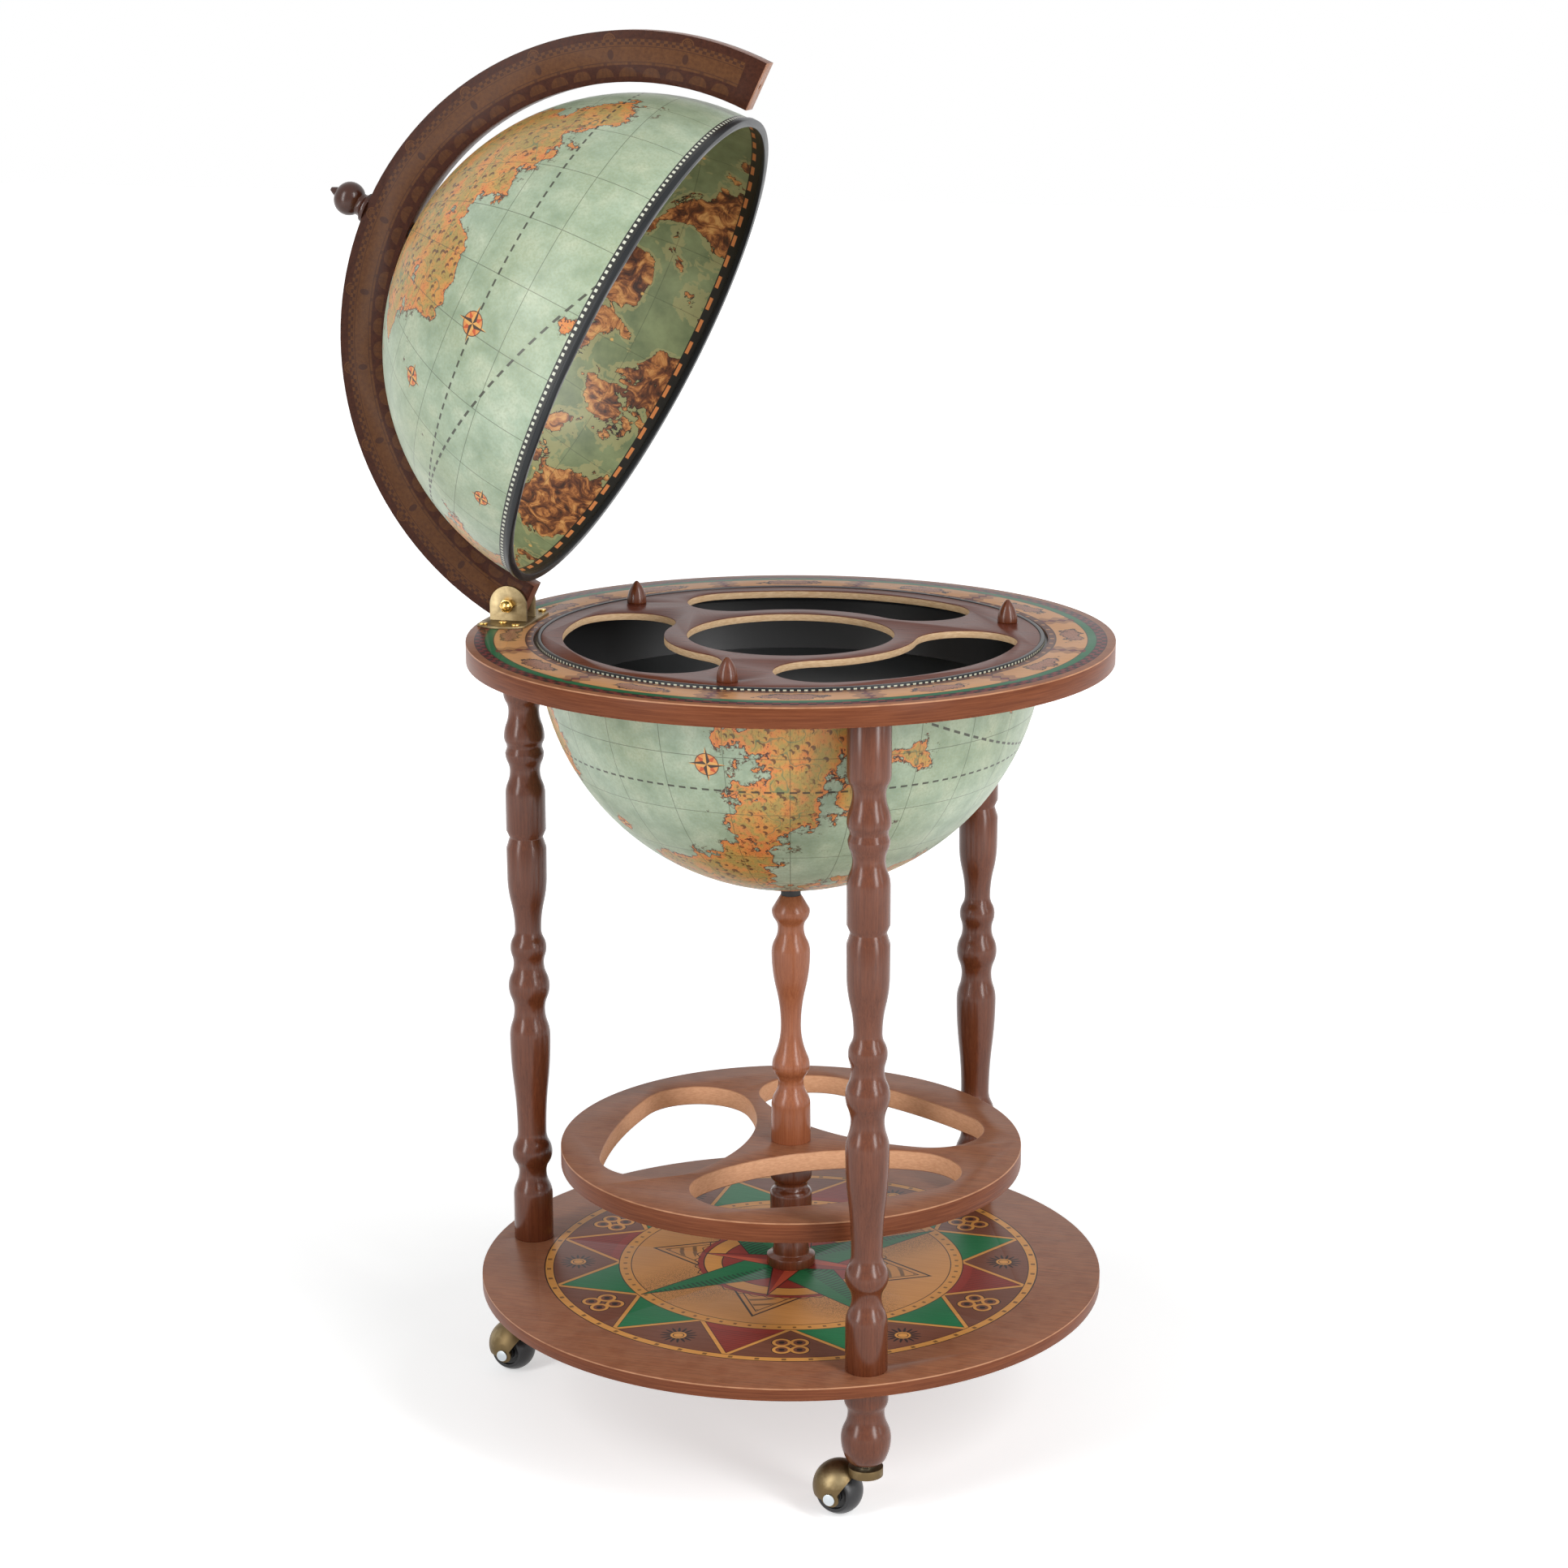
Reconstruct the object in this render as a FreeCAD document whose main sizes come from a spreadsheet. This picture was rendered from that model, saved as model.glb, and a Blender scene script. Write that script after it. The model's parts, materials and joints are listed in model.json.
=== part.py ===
import FreeCAD, Part
import math
import os
import Sketcher

# A floor-standing globe bar on casters, in millimetres, +Z up.
# The origin is on the floor on the axis of the central column. The hinge of the
# lid and one leg stand at -X, the other two legs at -60 and +60 degrees.
# The lid is modelled open, as it stands in use.

V = FreeCAD.Vector
PARTS_FOLDER = "parts"
FULL_TURN = 360
NUT_SIDES = 6
LEG_ANGLES = {"left": 180, "front": -60, "back": 60}
PEG_ANGLES = {"front": -90, "right": 30, "left": 150}
RACK_TURN = 90

doc = FreeCAD.newDocument("globe_bar")
sizes = doc.addObject("Spreadsheet::Sheet", "sizes")
places = doc.addObject("App::VarSet", "places")
bodies = []

# Driving dimensions, grouped by the piece that they belong to.
SIZES = {
    "globe": {
        "globe_radius": 200.0,
        "shell_wall": 3.0,
        "equator_drop": 2.4,
    },
    "horizon ring": {
        "globe_gap": 3.0,
        "ring_width": 53.0,
        "ring_thickness": 16.3,
    },
    "base and shelf": {
        "leg_inset": 31.5,
        "base_overhang": 29.9,
        "base_thickness": 10.4,
        "shelf_inset": 36.2,
        "shelf_thickness": 16.3,
        "shelf_turn": 2.0,
        "shelf_rim": 26.0,
        "spoke_width": 12.0,
        "hole_corner_share": 0.239,
        "hole_inner_bulge": 18.0,
        "hole_outer_bulge": 6.0,
    },
    "rims of the two halves": {
        "rim_stand": 1.5,
        "rim_bore_margin": 3.0,
        "ledge_width": 4.0,
        "ledge_height": 4.0,
        "lip_drop": 2.5,
        "lip_rise": 2.0,
        "lip_overhang": 1.4,
        "lip_inner_wall": 2.0,
        "lid_gap": 0.5,
    },
    "glass rack": {
        "rack_gap": 0.5,
        "rack_thickness": 6.0,
        "rack_below_rim": 0.5,
        "well_share": 0.4238,
        "well_rim": 18.0,
        "slot_rim": 13.5,
        "slot_half_span": 34.0,
        "floor_depth": 50.0,
        "floor_thickness": 3.0,
        "peg_inset": 14.0,
        "peg_tenon_radius": 3.0,
        "peg_tenon_length": 4.0,
    },
    "column": {
        "seat_height": 13.0,
        "seat_radius": 8.0,
        "rod_radius": 3.0,
        "rod_clearance": 0.3,
        "rod_spare": 4.0,
        "washer_radius": 10.0,
        "washer_thickness": 1.5,
        "nut_radius": 5.8,
        "nut_height": 5.0,
    },
    "studs in the legs": {
        "stud_radius": 3.0,
        "stud_clearance": 0.05,
        "stud_depth": 22.0,
        "dowel_depth": 10.0,
        "bore_spare": 1.0,
    },
    "meridian arch and its hinge": {
        "arch_gap": 8.5,
        "arch_width": 39.0,
        "arch_thickness": 18.0,
        "pin_offset": 23.5,
        "pin_height": 14.5,
        "pin_radius": 3.0,
        "pin_clearance": 0.05,
        "cam_radius": 12.2,
        "stop_drop": 10.0,
        "lid_angle": 64.4,
        "end_hole_radius": 2.0,
        "end_hole_depth": 8.0,
    },
    "hinge bracket": {
        "cheek_half_width": 15.5,
        "cheek_thickness": 2.5,
        "cheek_gap": 0.3,
        "plate_thickness": 2.0,
        "flange_half_width": 20.0,
        "flange_side": 18.0,
        "flange_bulge": 9.0,
        "screw_radius": 1.5,
        "screw_length": 10.0,
        "screw_head_radius": 3.2,
        "screw_head_height": 1.8,
        "near_screw_reach": 12.5,
        "far_screw_reach": 20.5,
        "far_screw_spread": 13.5,
        "bolt_head_radius": 5.5,
        "bolt_head_height": 3.5,
        "bolt_head_bevel": 1.0,
        "bolt_nut_radius": 5.6,
        "bolt_nut_height": 5.0,
        "bolt_dome_radius": 4.4,
        "bolt_dome_height": 3.6,
    },
    "pole of the lid": {
        "pole_radius": 3.0,
        "spacer_radius": 7.0,
        "turning_gap": 0.3,
        "finial_bore": 12.0,
    },
    "casters": {
        "wheel_radius": 18.5,
        "wheel_width_share": 0.7027,
        "wheel_hub_radius": 6.5,
        "wheel_rim_wall": 2.36,
        "wheel_recess": 3.5,
        "axle_radius": 2.5,
        "axle_clearance": 0.05,
        "axle_head_radius": 4.7,
        "axle_head_height": 1.3,
        "trail": 22.0,
        "trail_heading": 170.4,
        "hood_clearance": 1.5,
        "hood_wall": 1.0,
        "hood_rise": 4.0,
        "hood_flat_inset": 0.8,
        "skirt_drop": 2.0,
        "axle_boss_radius": 5.2,
        "axle_boss_gap": 0.4,
        "lobe_radius": 7.25,
        "lobe_end": 30.0,
        "boss_radius": 13.5,
        "boss_rise": 24.5,
        "boss_height": 7.0,
        "stem_radius": 4.0,
        "stem_clearance": 0.05,
        "stem_length": 30.0,
        "collar_radius": 6.0,
        "collar_height": 3.2,
        "rivet_radius": 5.5,
        "rivet_height": 1.2,
        "socket_wall": 1.95,
        "socket_flange": 1.0,
        "socket_flange_radius": 9.0,
        "socket_end_gap": 1.0,
    },
}

# Turned pieces, from the bottom up. Each section has its own length and the radius
# that it ends at, and the way that the lathe tool got there: a straight line, an
# ogee that starts and ends along the axis, a fall that starts along it, or a rise
# that ends along it. The upper column is stretched to the height left for it.
TURNINGS = {
    "leg": (16.3, [
        ("foot_drum", "line", 38.0, 16.3),
        ("ankle", "ogee", 20.7, 11.5),
        ("low_bead", "ogee", 16.9, 16.7),
        ("low_waist", "ogee", 18.4, 12.0),
        ("calf", "ogee", 84.0, 16.8),
        ("knee_neck", "ogee", 23.0, 12.8),
        ("middle_bead", "ogee", 20.5, 17.0),
        ("collar_neck", "ogee", 19.5, 12.6),
        ("small_bead", "ogee", 13.5, 14.9),
        ("thin_neck", "ogee", 15.5, 10.9),
        ("thigh", "ogee", 46.0, 16.3),
        ("lower_drum", "line", 24.0, 16.5),
        ("groove", "line", 8.7, 13.7),
        ("groove_edge", "line", 6.3, 16.4),
        ("upper_drum", "line", 30.0, 16.4),
        ("high_neck", "ogee", 19.5, 12.4),
        ("high_bead", "ogee", 15.5, 15.9),
        ("bead_groove", "line", 4.5, 14.4),
        ("high_ring", "ogee", 8.5, 16.6),
        ("high_waist", "ogee", 22.0, 12.6),
        ("shoulder", "ogee", 15.0, 16.6),
        ("top_drum", "line", 42.6, 16.6),
    ]),
    "foot": (13.5, [
        ("heel", "line", 2.5, 15.4),
        ("belly", "rise", 16.9, 19.4),
        ("neck", "ogee", 21.6, 14.2),
        ("shoulder", "ogee", 11.0, 17.2),
        ("top", "line", 13.6, 17.0),
    ]),
    "lower_column": (20.0, [
        ("disc", "line", 8.0, 20.0),
        ("step", "line", 1.5, 15.0),
        ("cove", "ogee", 20.0, 13.0),
        ("swell", "ogee", 19.5, 17.2),
        ("ring", "line", 12.0, 17.2),
        ("neck", "ogee", 9.0, 13.5),
        ("cup", "ogee", 7.0, 17.1),
        ("top", "line", 14.1, 17.1),
    ]),
    "upper_column": (16.3, [
        ("shaft", "line", 30.6, 15.9),
        ("low_neck", "ogee", 19.4, 10.4),
        ("low_bead", "ogee", 14.6, 15.4),
        ("bead_edge", "fall", 8.0, 13.6),
        ("waist", "rise", 26.0, 8.25),
        ("vase", "ogee", 62.0, 15.75),
        ("vase_neck", "ogee", 20.5, 10.6),
        ("top_bead", "ogee", 14.4, 15.5),
        ("top_edge", "fall", 7.4, 12.4),
        ("top", "line", 3.2, 10.0),
    ]),
    "finial": (12.0, [
        ("foot", "line", 3.0, 12.0),
        ("cove", "rise", 4.0, 9.0),
        ("neck", "line", 1.5, 9.0),
        ("ball_foot", "rise", 9.5, 13.5),
        ("ball_top", "fall", 11.5, 4.0),
        ("tip_neck", "line", 1.5, 3.6),
        ("tip", "line", 4.0, 1.6),
    ]),
    "peg": (8.0, [
        ("side", "line", 8.0, 8.0),
        ("nose", "fall", 10.5, 1.2),
    ]),
}

# Places that follow from the driving dimensions, in the order of their use.
PLACES = {
    "foot_bottom": "sizes.wheel_radius + sizes.boss_rise + sizes.collar_height"
                   " + sizes.turning_gap + sizes.socket_flange",
    "base_underside": "foot_bottom + foot_height",
    "base_top": "base_underside + sizes.base_thickness",
    "ring_underside": "base_top + leg_height",
    "ring_top": "ring_underside + sizes.ring_thickness",
    "equator": "ring_top - sizes.equator_drop",
    "globe_bottom": "equator - sizes.globe_radius",
    "shelf_underside": "base_top + lower_column_height",
    "shelf_top": "shelf_underside + sizes.shelf_thickness",
    "seat_bottom": "globe_bottom - sizes.seat_height",
    "upper_column_height": "seat_bottom - shelf_top",
    "shell_inside": "sizes.globe_radius - sizes.shell_wall",
    "ring_inside": "sizes.globe_radius + sizes.globe_gap",
    "ring_outside": "ring_inside + sizes.ring_width",
    "leg_circle": "ring_outside - sizes.leg_inset",
    "base_radius": "leg_circle + sizes.base_overhang",
    "shelf_radius": "leg_circle - sizes.shelf_inset",
    "rim_inside": "shell_inside - sizes.rim_bore_margin",
    "rack_top": "ring_top + sizes.rim_stand - sizes.rack_below_rim",
    "rack_underside": "rack_top - sizes.rack_thickness",
    "ledge_bottom": "rack_underside - sizes.ledge_height",
    "ledge_outside": "sqrt(shell_inside^2 - (equator - ledge_bottom)^2)",
    "floor_top": "ring_top - sizes.floor_depth",
    "floor_bottom": "floor_top - sizes.floor_thickness",
    "floor_radius": "sqrt(shell_inside^2 - (equator - floor_bottom)^2)",
    "rod_bore": "sizes.rod_radius + sizes.rod_clearance",
    "rod_hole_drop": "sqrt(shell_inside^2 - sizes.washer_radius^2)",
    "rod_bottom": "base_underside - sizes.washer_thickness - sizes.nut_height"
                  " - sizes.rod_spare",
    "rod_top": "equator - rod_hole_drop + sizes.washer_thickness"
               " + sizes.nut_height + sizes.rod_spare",
    "hole_corner": "shelf_radius * sizes.hole_corner_share",
    "corner_reach": "shelf_radius - sizes.shelf_rim - hole_corner",
    "corner_turn": "60 - asin((sizes.spoke_width / 2 + hole_corner) / corner_reach)"
                   " / 1 deg",
    "corner_out": "corner_reach * cos(corner_turn)",
    "corner_side": "corner_reach * sin(corner_turn)",
    "hole_inner": "corner_out - hole_corner - sizes.hole_inner_bulge",
    "hole_outer": "corner_out + hole_corner + sizes.hole_outer_bulge",
    "rack_radius": "rim_inside - sizes.rack_gap",
    "well_radius": "rack_radius * sizes.well_share",
    "slot_inside": "well_radius + sizes.well_rim",
    "slot_outside": "rack_radius - sizes.slot_rim",
    "slot_half_width": "(slot_outside - slot_inside) / 2",
    "slot_centre": "(slot_outside + slot_inside) / 2",
    "peg_circle": "rim_inside - sizes.peg_inset",
    "arch_inside": "sizes.globe_radius + sizes.arch_gap",
    "arch_outside": "arch_inside + sizes.arch_width",
    "dome_lift": "sizes.rim_stand + sizes.lid_gap + sizes.lip_drop",
    "pin_reach": "arch_inside + sizes.pin_offset",
    "pin_rise": "sizes.pin_height - dome_lift",
    "dome_x": "pin_reach * cos(sizes.lid_angle) + pin_rise * sin(sizes.lid_angle)"
              " - pin_reach",
    "dome_z": "ring_top + sizes.pin_height + pin_reach * sin(sizes.lid_angle)"
              " - pin_rise * cos(sizes.lid_angle)",
    "stop_x": "-pin_reach - sizes.stop_drop * sin(sizes.lid_angle)",
    "stop_z": "pin_rise - sizes.stop_drop * cos(sizes.lid_angle)",
    "stop_start": "sqrt(sizes.cam_radius^2 - sizes.stop_drop^2)",
    "stop_middle": "stop_x * cos(sizes.lid_angle) - stop_z * sin(sizes.lid_angle)",
    "stop_length": "stop_middle + sqrt(stop_middle^2 - stop_x^2 - stop_z^2"
                   " + arch_outside^2)",
    "pole_bore": "sizes.pole_radius + sizes.pin_clearance",
    "spacer_bottom": "sizes.globe_radius + sizes.turning_gap",
    "spacer_top": "sqrt(arch_inside^2 - sizes.spacer_radius^2)",
    "pole_washer_top": "sqrt(shell_inside^2 - sizes.washer_radius^2)"
                       " - sizes.turning_gap",
    "pole_nut_top": "pole_washer_top - sizes.washer_thickness",
    "cheek_inside": "sizes.arch_thickness / 2 + sizes.cheek_gap",
    "cheek_outside": "cheek_inside + sizes.cheek_thickness",
    "flange_radius": "(sizes.flange_half_width^2 + sizes.flange_bulge^2)"
                     " / (2 * sizes.flange_bulge)",
    "wheel_face": "sizes.wheel_radius * sizes.wheel_width_share",
    "wheel_edge": "sqrt(sizes.wheel_radius^2 - wheel_face^2)",
    "wheel_rim_bore": "wheel_edge - sizes.wheel_rim_wall",
    "wheel_floor": "wheel_face - sizes.wheel_recess",
    "hood_inside": "sizes.wheel_radius + sizes.hood_clearance",
    "hood_outside": "hood_inside + sizes.hood_wall",
    "hood_centre": "sizes.wheel_radius + sizes.hood_rise",
    "hood_flat": "hood_outside - sizes.hood_flat_inset",
    "boss_top": "sizes.wheel_radius + sizes.boss_rise",
    "boss_bottom": "boss_top - sizes.boss_height",
    "collar_top": "boss_top + sizes.collar_height",
    "socket_bore": "sizes.stem_radius + sizes.stem_clearance",
    "socket_outside": "socket_bore + sizes.socket_wall",
    "socket_length": "sizes.stem_length + sizes.socket_end_gap",
}


def write_sizes():
    """Put every driving dimension in the sheet, one row each, under its alias."""
    rows = []
    for group in SIZES.values():
        rows.extend(group.items())
    for piece, (start_radius, sections) in TURNINGS.items():
        rows.append((piece + "_start_radius", start_radius))
        for name, _, length, radius in sections:
            rows.append((piece + "_" + name + "_length", length))
            rows.append((piece + "_" + name + "_radius", radius))
    for row, (alias, number) in enumerate(rows, start=1):
        sizes.set("A%d" % row, alias)
        sizes.set("B%d" % row, str(number))
        sizes.setAlias("B%d" % row, alias)
    doc.recompute()


def derive(name, expression):
    """Add one derived place, which follows the sheet by its expression."""
    places.addProperty("App::PropertyFloat", name)
    places.setExpression(name, expression)


def write_places():
    """Work out the heights of the turned sections and the places in PLACES."""
    for piece, (_, sections) in TURNINGS.items():
        terms = ["sizes.%s_%s_length" % (piece, name) for name, _, _, _ in sections]
        derive(piece + "_drawn_height", " + ".join(terms))
        if piece + "_height" not in PLACES:
            derive(piece + "_height", piece + "_drawn_height")
    for name, expression in PLACES.items():
        derive(name, expression)
    for piece, (_, sections) in TURNINGS.items():
        derive(piece + "_stretch", "%s_height / %s_drawn_height" % (piece, piece))
        top = "0"
        for name, _, _, _ in sections:
            derive("%s_%s_top" % (piece, name),
                   "%s + sizes.%s_%s_length * %s_stretch" % (top, piece, name, piece))
            top = "%s_%s_top" % (piece, name)
    doc.recompute()


def value(expression):
    """Give the number that an expression on the sheet and the places has now."""
    return float(sizes.evalExpression(expression))


def new_body(label):
    """Start a sub-part as a body whose label names its file."""
    body = doc.addObject("PartDesign::Body", label)
    body.Label = label
    bodies.append(body)
    return body


def origin_feature(body, role):
    """Find a plane or an axis of the body's own origin."""
    return [item for item in body.Origin.OriginFeatures if item.Role == role][0]


def new_sketch(body, role, name):
    """Start a sketch on one of the body's own origin planes."""
    sketch = body.newObject("Sketcher::SketchObject", name)
    sketch.AttachmentSupport = [(origin_feature(body, role), "")]
    sketch.MapMode = "FlatFace"
    return sketch


def put(body, x="0", y="0", z="0", axis=None, angle="0"):
    """Place a body by expressions, turned about an axis where one is given."""
    turn = FreeCAD.Rotation(axis or V(0, 0, 1), value(angle))
    body.Placement = FreeCAD.Placement(V(value(x), value(y), value(z)), turn)
    for letter, expression in (("x", x), ("y", y), ("z", z)):
        if expression != "0":
            body.setExpression("Placement.Base." + letter, expression)
    if angle != "0":
        body.setExpression("Placement.Rotation.Angle", angle)


def hold(sketch, kind, geometry, point, expression):
    """Hold one coordinate of a point of the sketch at an expression."""
    number = value(expression)
    if expression == "0":
        axis = -2 if kind == "DistanceX" else -1
        sketch.addConstraint(Sketcher.Constraint("PointOnObject", geometry, point, axis))
        return
    index = sketch.addConstraint(
        Sketcher.Constraint(kind, -1, 1, geometry, point, number))
    sketch.setExpression("Constraints[%d]" % index, expression)


def draw_circle(sketch, x, y, radius):
    """Draw a circle whose centre and radius follow expressions."""
    centre = V(value(x), value(y), 0)
    circle = Part.Circle(centre, V(0, 0, 1), value(radius))
    geometry = sketch.addGeometry(circle)
    hold(sketch, "DistanceX", geometry, 3, x)
    hold(sketch, "DistanceY", geometry, 3, y)
    index = sketch.addConstraint(Sketcher.Constraint("Radius", geometry, value(radius)))
    sketch.setExpression("Constraints[%d]" % index, radius)


def arc_between(start, end, radius, left):
    """Make the shorter arc from start to end, its centre on the left or the right."""
    chord = end - start
    half = chord.Length / 2
    reach = math.sqrt(max(radius * radius - half * half, 0))
    side = V(-chord.y, chord.x, 0).normalize()
    centre = (start + end) * 0.5 + side * (reach if left else -reach)
    first, last = (start, end) if left else (end, start)
    from_angle = math.atan2(first.y - centre.y, first.x - centre.x)
    to_angle = math.atan2(last.y - centre.y, last.x - centre.x)
    circle = Part.Circle(centre, V(0, 0, 1), radius)
    return Part.ArcOfCircle(circle, from_angle, to_angle)


def draw_outline(sketch, corners):
    """Draw a closed outline. Each corner is (x, y, bend): two expressions, and how the
    edge that leads to it from the corner before runs: None for a straight line, or a
    radius expression and "left" or "right" for the side of an arc's centre."""
    edges = []
    ends = [V(value(x), value(y), 0) for x, y, _ in corners]
    for number, (_, _, bend) in enumerate(corners):
        start = ends[number - 1]
        end = ends[number]
        if bend is None:
            edges.append((sketch.addGeometry(Part.LineSegment(start, end)), 1, 2))
            continue
        radius, side = bend
        left = side == "left"
        arc = arc_between(start, end, value(radius), left)
        geometry = sketch.addGeometry(arc)
        edges.append((geometry, 1, 2) if left else (geometry, 2, 1))
    for number, (geometry, start, end) in enumerate(edges):
        following, following_start, _ = edges[(number + 1) % len(edges)]
        sketch.addConstraint(Sketcher.Constraint(
            "Coincident", geometry, end, following, following_start))
    for (geometry, _, end), (x, y, bend) in zip(edges, corners):
        hold(sketch, "DistanceX", geometry, end, x)
        hold(sketch, "DistanceY", geometry, end, y)
        if bend is not None:
            index = sketch.addConstraint(
                Sketcher.Constraint("Radius", geometry, value(bend[0])))
            sketch.setExpression("Constraints[%d]" % index, bend[0])


def rectangle(left, bottom, right, top):
    """Give the corners of an upright rectangle for draw_outline."""
    return [(left, bottom, None), (right, bottom, None), (right, top, None),
            (left, top, None)]


def revolve(body, sketch, axis="V_Axis"):
    """Turn the sketch once round one of its own axes."""
    turn = body.newObject("PartDesign::Revolution", sketch.Name + "_turned")
    turn.Profile = sketch
    turn.ReferenceAxis = (sketch, [axis])
    turn.Angle = FULL_TURN
    sketch.Visibility = False
    return turn


def groove(body, sketch, axis="V_Axis"):
    """Cut the sketch out of the body, once round one of its own axes."""
    cut = body.newObject("PartDesign::Groove", sketch.Name + "_cut")
    cut.Profile = sketch
    cut.ReferenceAxis = (sketch, [axis])
    cut.Angle = FULL_TURN
    sketch.Visibility = False
    return cut


def pad(body, sketch, length, both_sides=False):
    """Raise the sketch by a length, to one side or half to each side."""
    raised = body.newObject("PartDesign::Pad", sketch.Name + "_pad")
    raised.Profile = sketch
    raised.setExpression("Length", length)
    if both_sides:
        raised.SideType = "Symmetric"
    sketch.Visibility = False
    return raised


def pocket(body, sketch, length, both_sides=False, reverse=False):
    """Cut the sketch into the body, and make sure that it took something away."""
    before = body.Shape.Volume
    cut = body.newObject("PartDesign::Pocket", sketch.Name + "_pocket")
    cut.Profile = sketch
    cut.setExpression("Length", length)
    cut.Reversed = reverse
    if both_sides:
        cut.SideType = "Symmetric"
    sketch.Visibility = False
    doc.recompute()
    if not body.Shape.Volume < before:
        raise ValueError(body.Label + ": " + sketch.Name + " cuts nothing")
    return cut


def around(body, features):
    """Repeat features round the body's Z axis, once for each leg."""
    pattern = body.newObject("PartDesign::PolarPattern", features[0].Name + "_around")
    pattern.Originals = features
    pattern.Axis = (origin_feature(body, "Z_Axis"), [""])
    pattern.Angle = FULL_TURN
    pattern.Occurrences = len(LEG_ANGLES)
    body.Tip = pattern
    return pattern


def turned_corners(piece):
    """List the corners of a turned piece's outline, from the axis round to the axis."""
    start_radius, sections = TURNINGS[piece]
    radius = "sizes.%s_start_radius" % piece
    height = "0"
    corners = [("0", "0", None), (radius, "0", None)]
    before = start_radius
    for name, way, _, after in sections:
        new_radius = "sizes.%s_%s_radius" % (piece, name)
        new_height = "places.%s_%s_top" % (piece, name)
        rise = "(%s - (%s))" % (new_height, height)
        swing = "(%s - %s)" % (new_radius, radius)
        outward = after > before
        if way == "line":
            corners.append((new_radius, new_height, None))
        elif way == "ogee":
            bend = "((%s)^2 + (%s)^2) / (4 * abs(%s))" % (rise, swing, swing)
            middle_radius = "(%s + %s) / 2" % (radius, new_radius)
            middle_height = "(%s + %s) / 2" % (height, new_height)
            first, second = ("right", "left") if outward else ("left", "right")
            corners.append((middle_radius, middle_height, (bend, first)))
            corners.append((new_radius, new_height, (bend, second)))
        else:
            bend = "((%s)^2 + (%s)^2) / (2 * abs(%s))" % (rise, swing, swing)
            hollow = outward == (way == "fall")
            corners.append((new_radius, new_height, (bend, "right" if hollow else "left")))
        radius = new_radius
        height = new_height
        before = after
    corners.append(("0", height, None))
    return corners


def turned_body(label, piece):
    """Turn a piece on its own Z axis, standing on its origin."""
    body = new_body(label)
    sketch = new_sketch(body, "XZ_Plane", label + "_outline")
    draw_outline(sketch, turned_corners(piece))
    revolve(body, sketch)
    doc.recompute()
    return body


def bore(body, name, radius, bottom, top):
    """Bore a hole on the body's Z axis from one height to another."""
    sketch = new_sketch(body, "XZ_Plane", name)
    draw_outline(sketch, rectangle("0", bottom, radius, top))
    groove(body, sketch)
    doc.recompute()


def disc(label, radius, thickness, hole):
    """Make a flat disc with a hole at its middle, standing on its origin."""
    body = new_body(label)
    sketch = new_sketch(body, "XY_Plane", label + "_outline")
    draw_circle(sketch, "0", "0", radius)
    draw_circle(sketch, "0", "0", hole)
    pad(body, sketch, thickness)
    doc.recompute()
    return body


def leg_place(side):
    """Give the expressions of a leg's place on its circle."""
    angle = LEG_ANGLES[side]
    return "places.leg_circle * cos(%g)" % angle, "places.leg_circle * sin(%g)" % angle


def base_shelf():
    """The thick round base that the legs and the column stand on."""
    body = disc("base_shelf", "places.base_radius", "sizes.base_thickness",
                "places.rod_bore")
    sketch = new_sketch(body, "XY_Plane", "base_stud_holes")
    for side in LEG_ANGLES:
        x, y = leg_place(side)
        draw_circle(sketch, x, y, "sizes.stud_radius + sizes.stud_clearance")
    pocket(body, sketch, "sizes.base_thickness", reverse=True)
    put(body, z="places.base_underside")


def leg(side):
    """A turned leg between the base and the horizon ring, bored for its studs."""
    body = turned_body("leg_" + side, "leg")
    stud_bore = "sizes.stud_radius + sizes.stud_clearance"
    bore(body, "leg_%s_low_bore" % side, stud_bore, "0",
         "sizes.stud_depth + sizes.bore_spare")
    bore(body, "leg_%s_top_bore" % side, stud_bore,
         "places.leg_height - sizes.dowel_depth - sizes.bore_spare",
         "places.leg_height")
    x, y = leg_place(side)
    put(body, x, y, "places.base_top")


def foot(side):
    """A turned bun foot below the base, bored for the stud and the caster socket."""
    body = turned_body("foot_" + side, "foot")
    bore(body, "foot_%s_socket_bore" % side, "places.socket_outside", "0",
         "places.socket_length")
    bore(body, "foot_%s_stud_bore" % side, "sizes.stud_radius + sizes.stud_clearance",
         "places.foot_height - sizes.stud_depth - sizes.bore_spare",
         "places.foot_height")
    x, y = leg_place(side)
    put(body, x, y, "places.foot_bottom")


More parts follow.
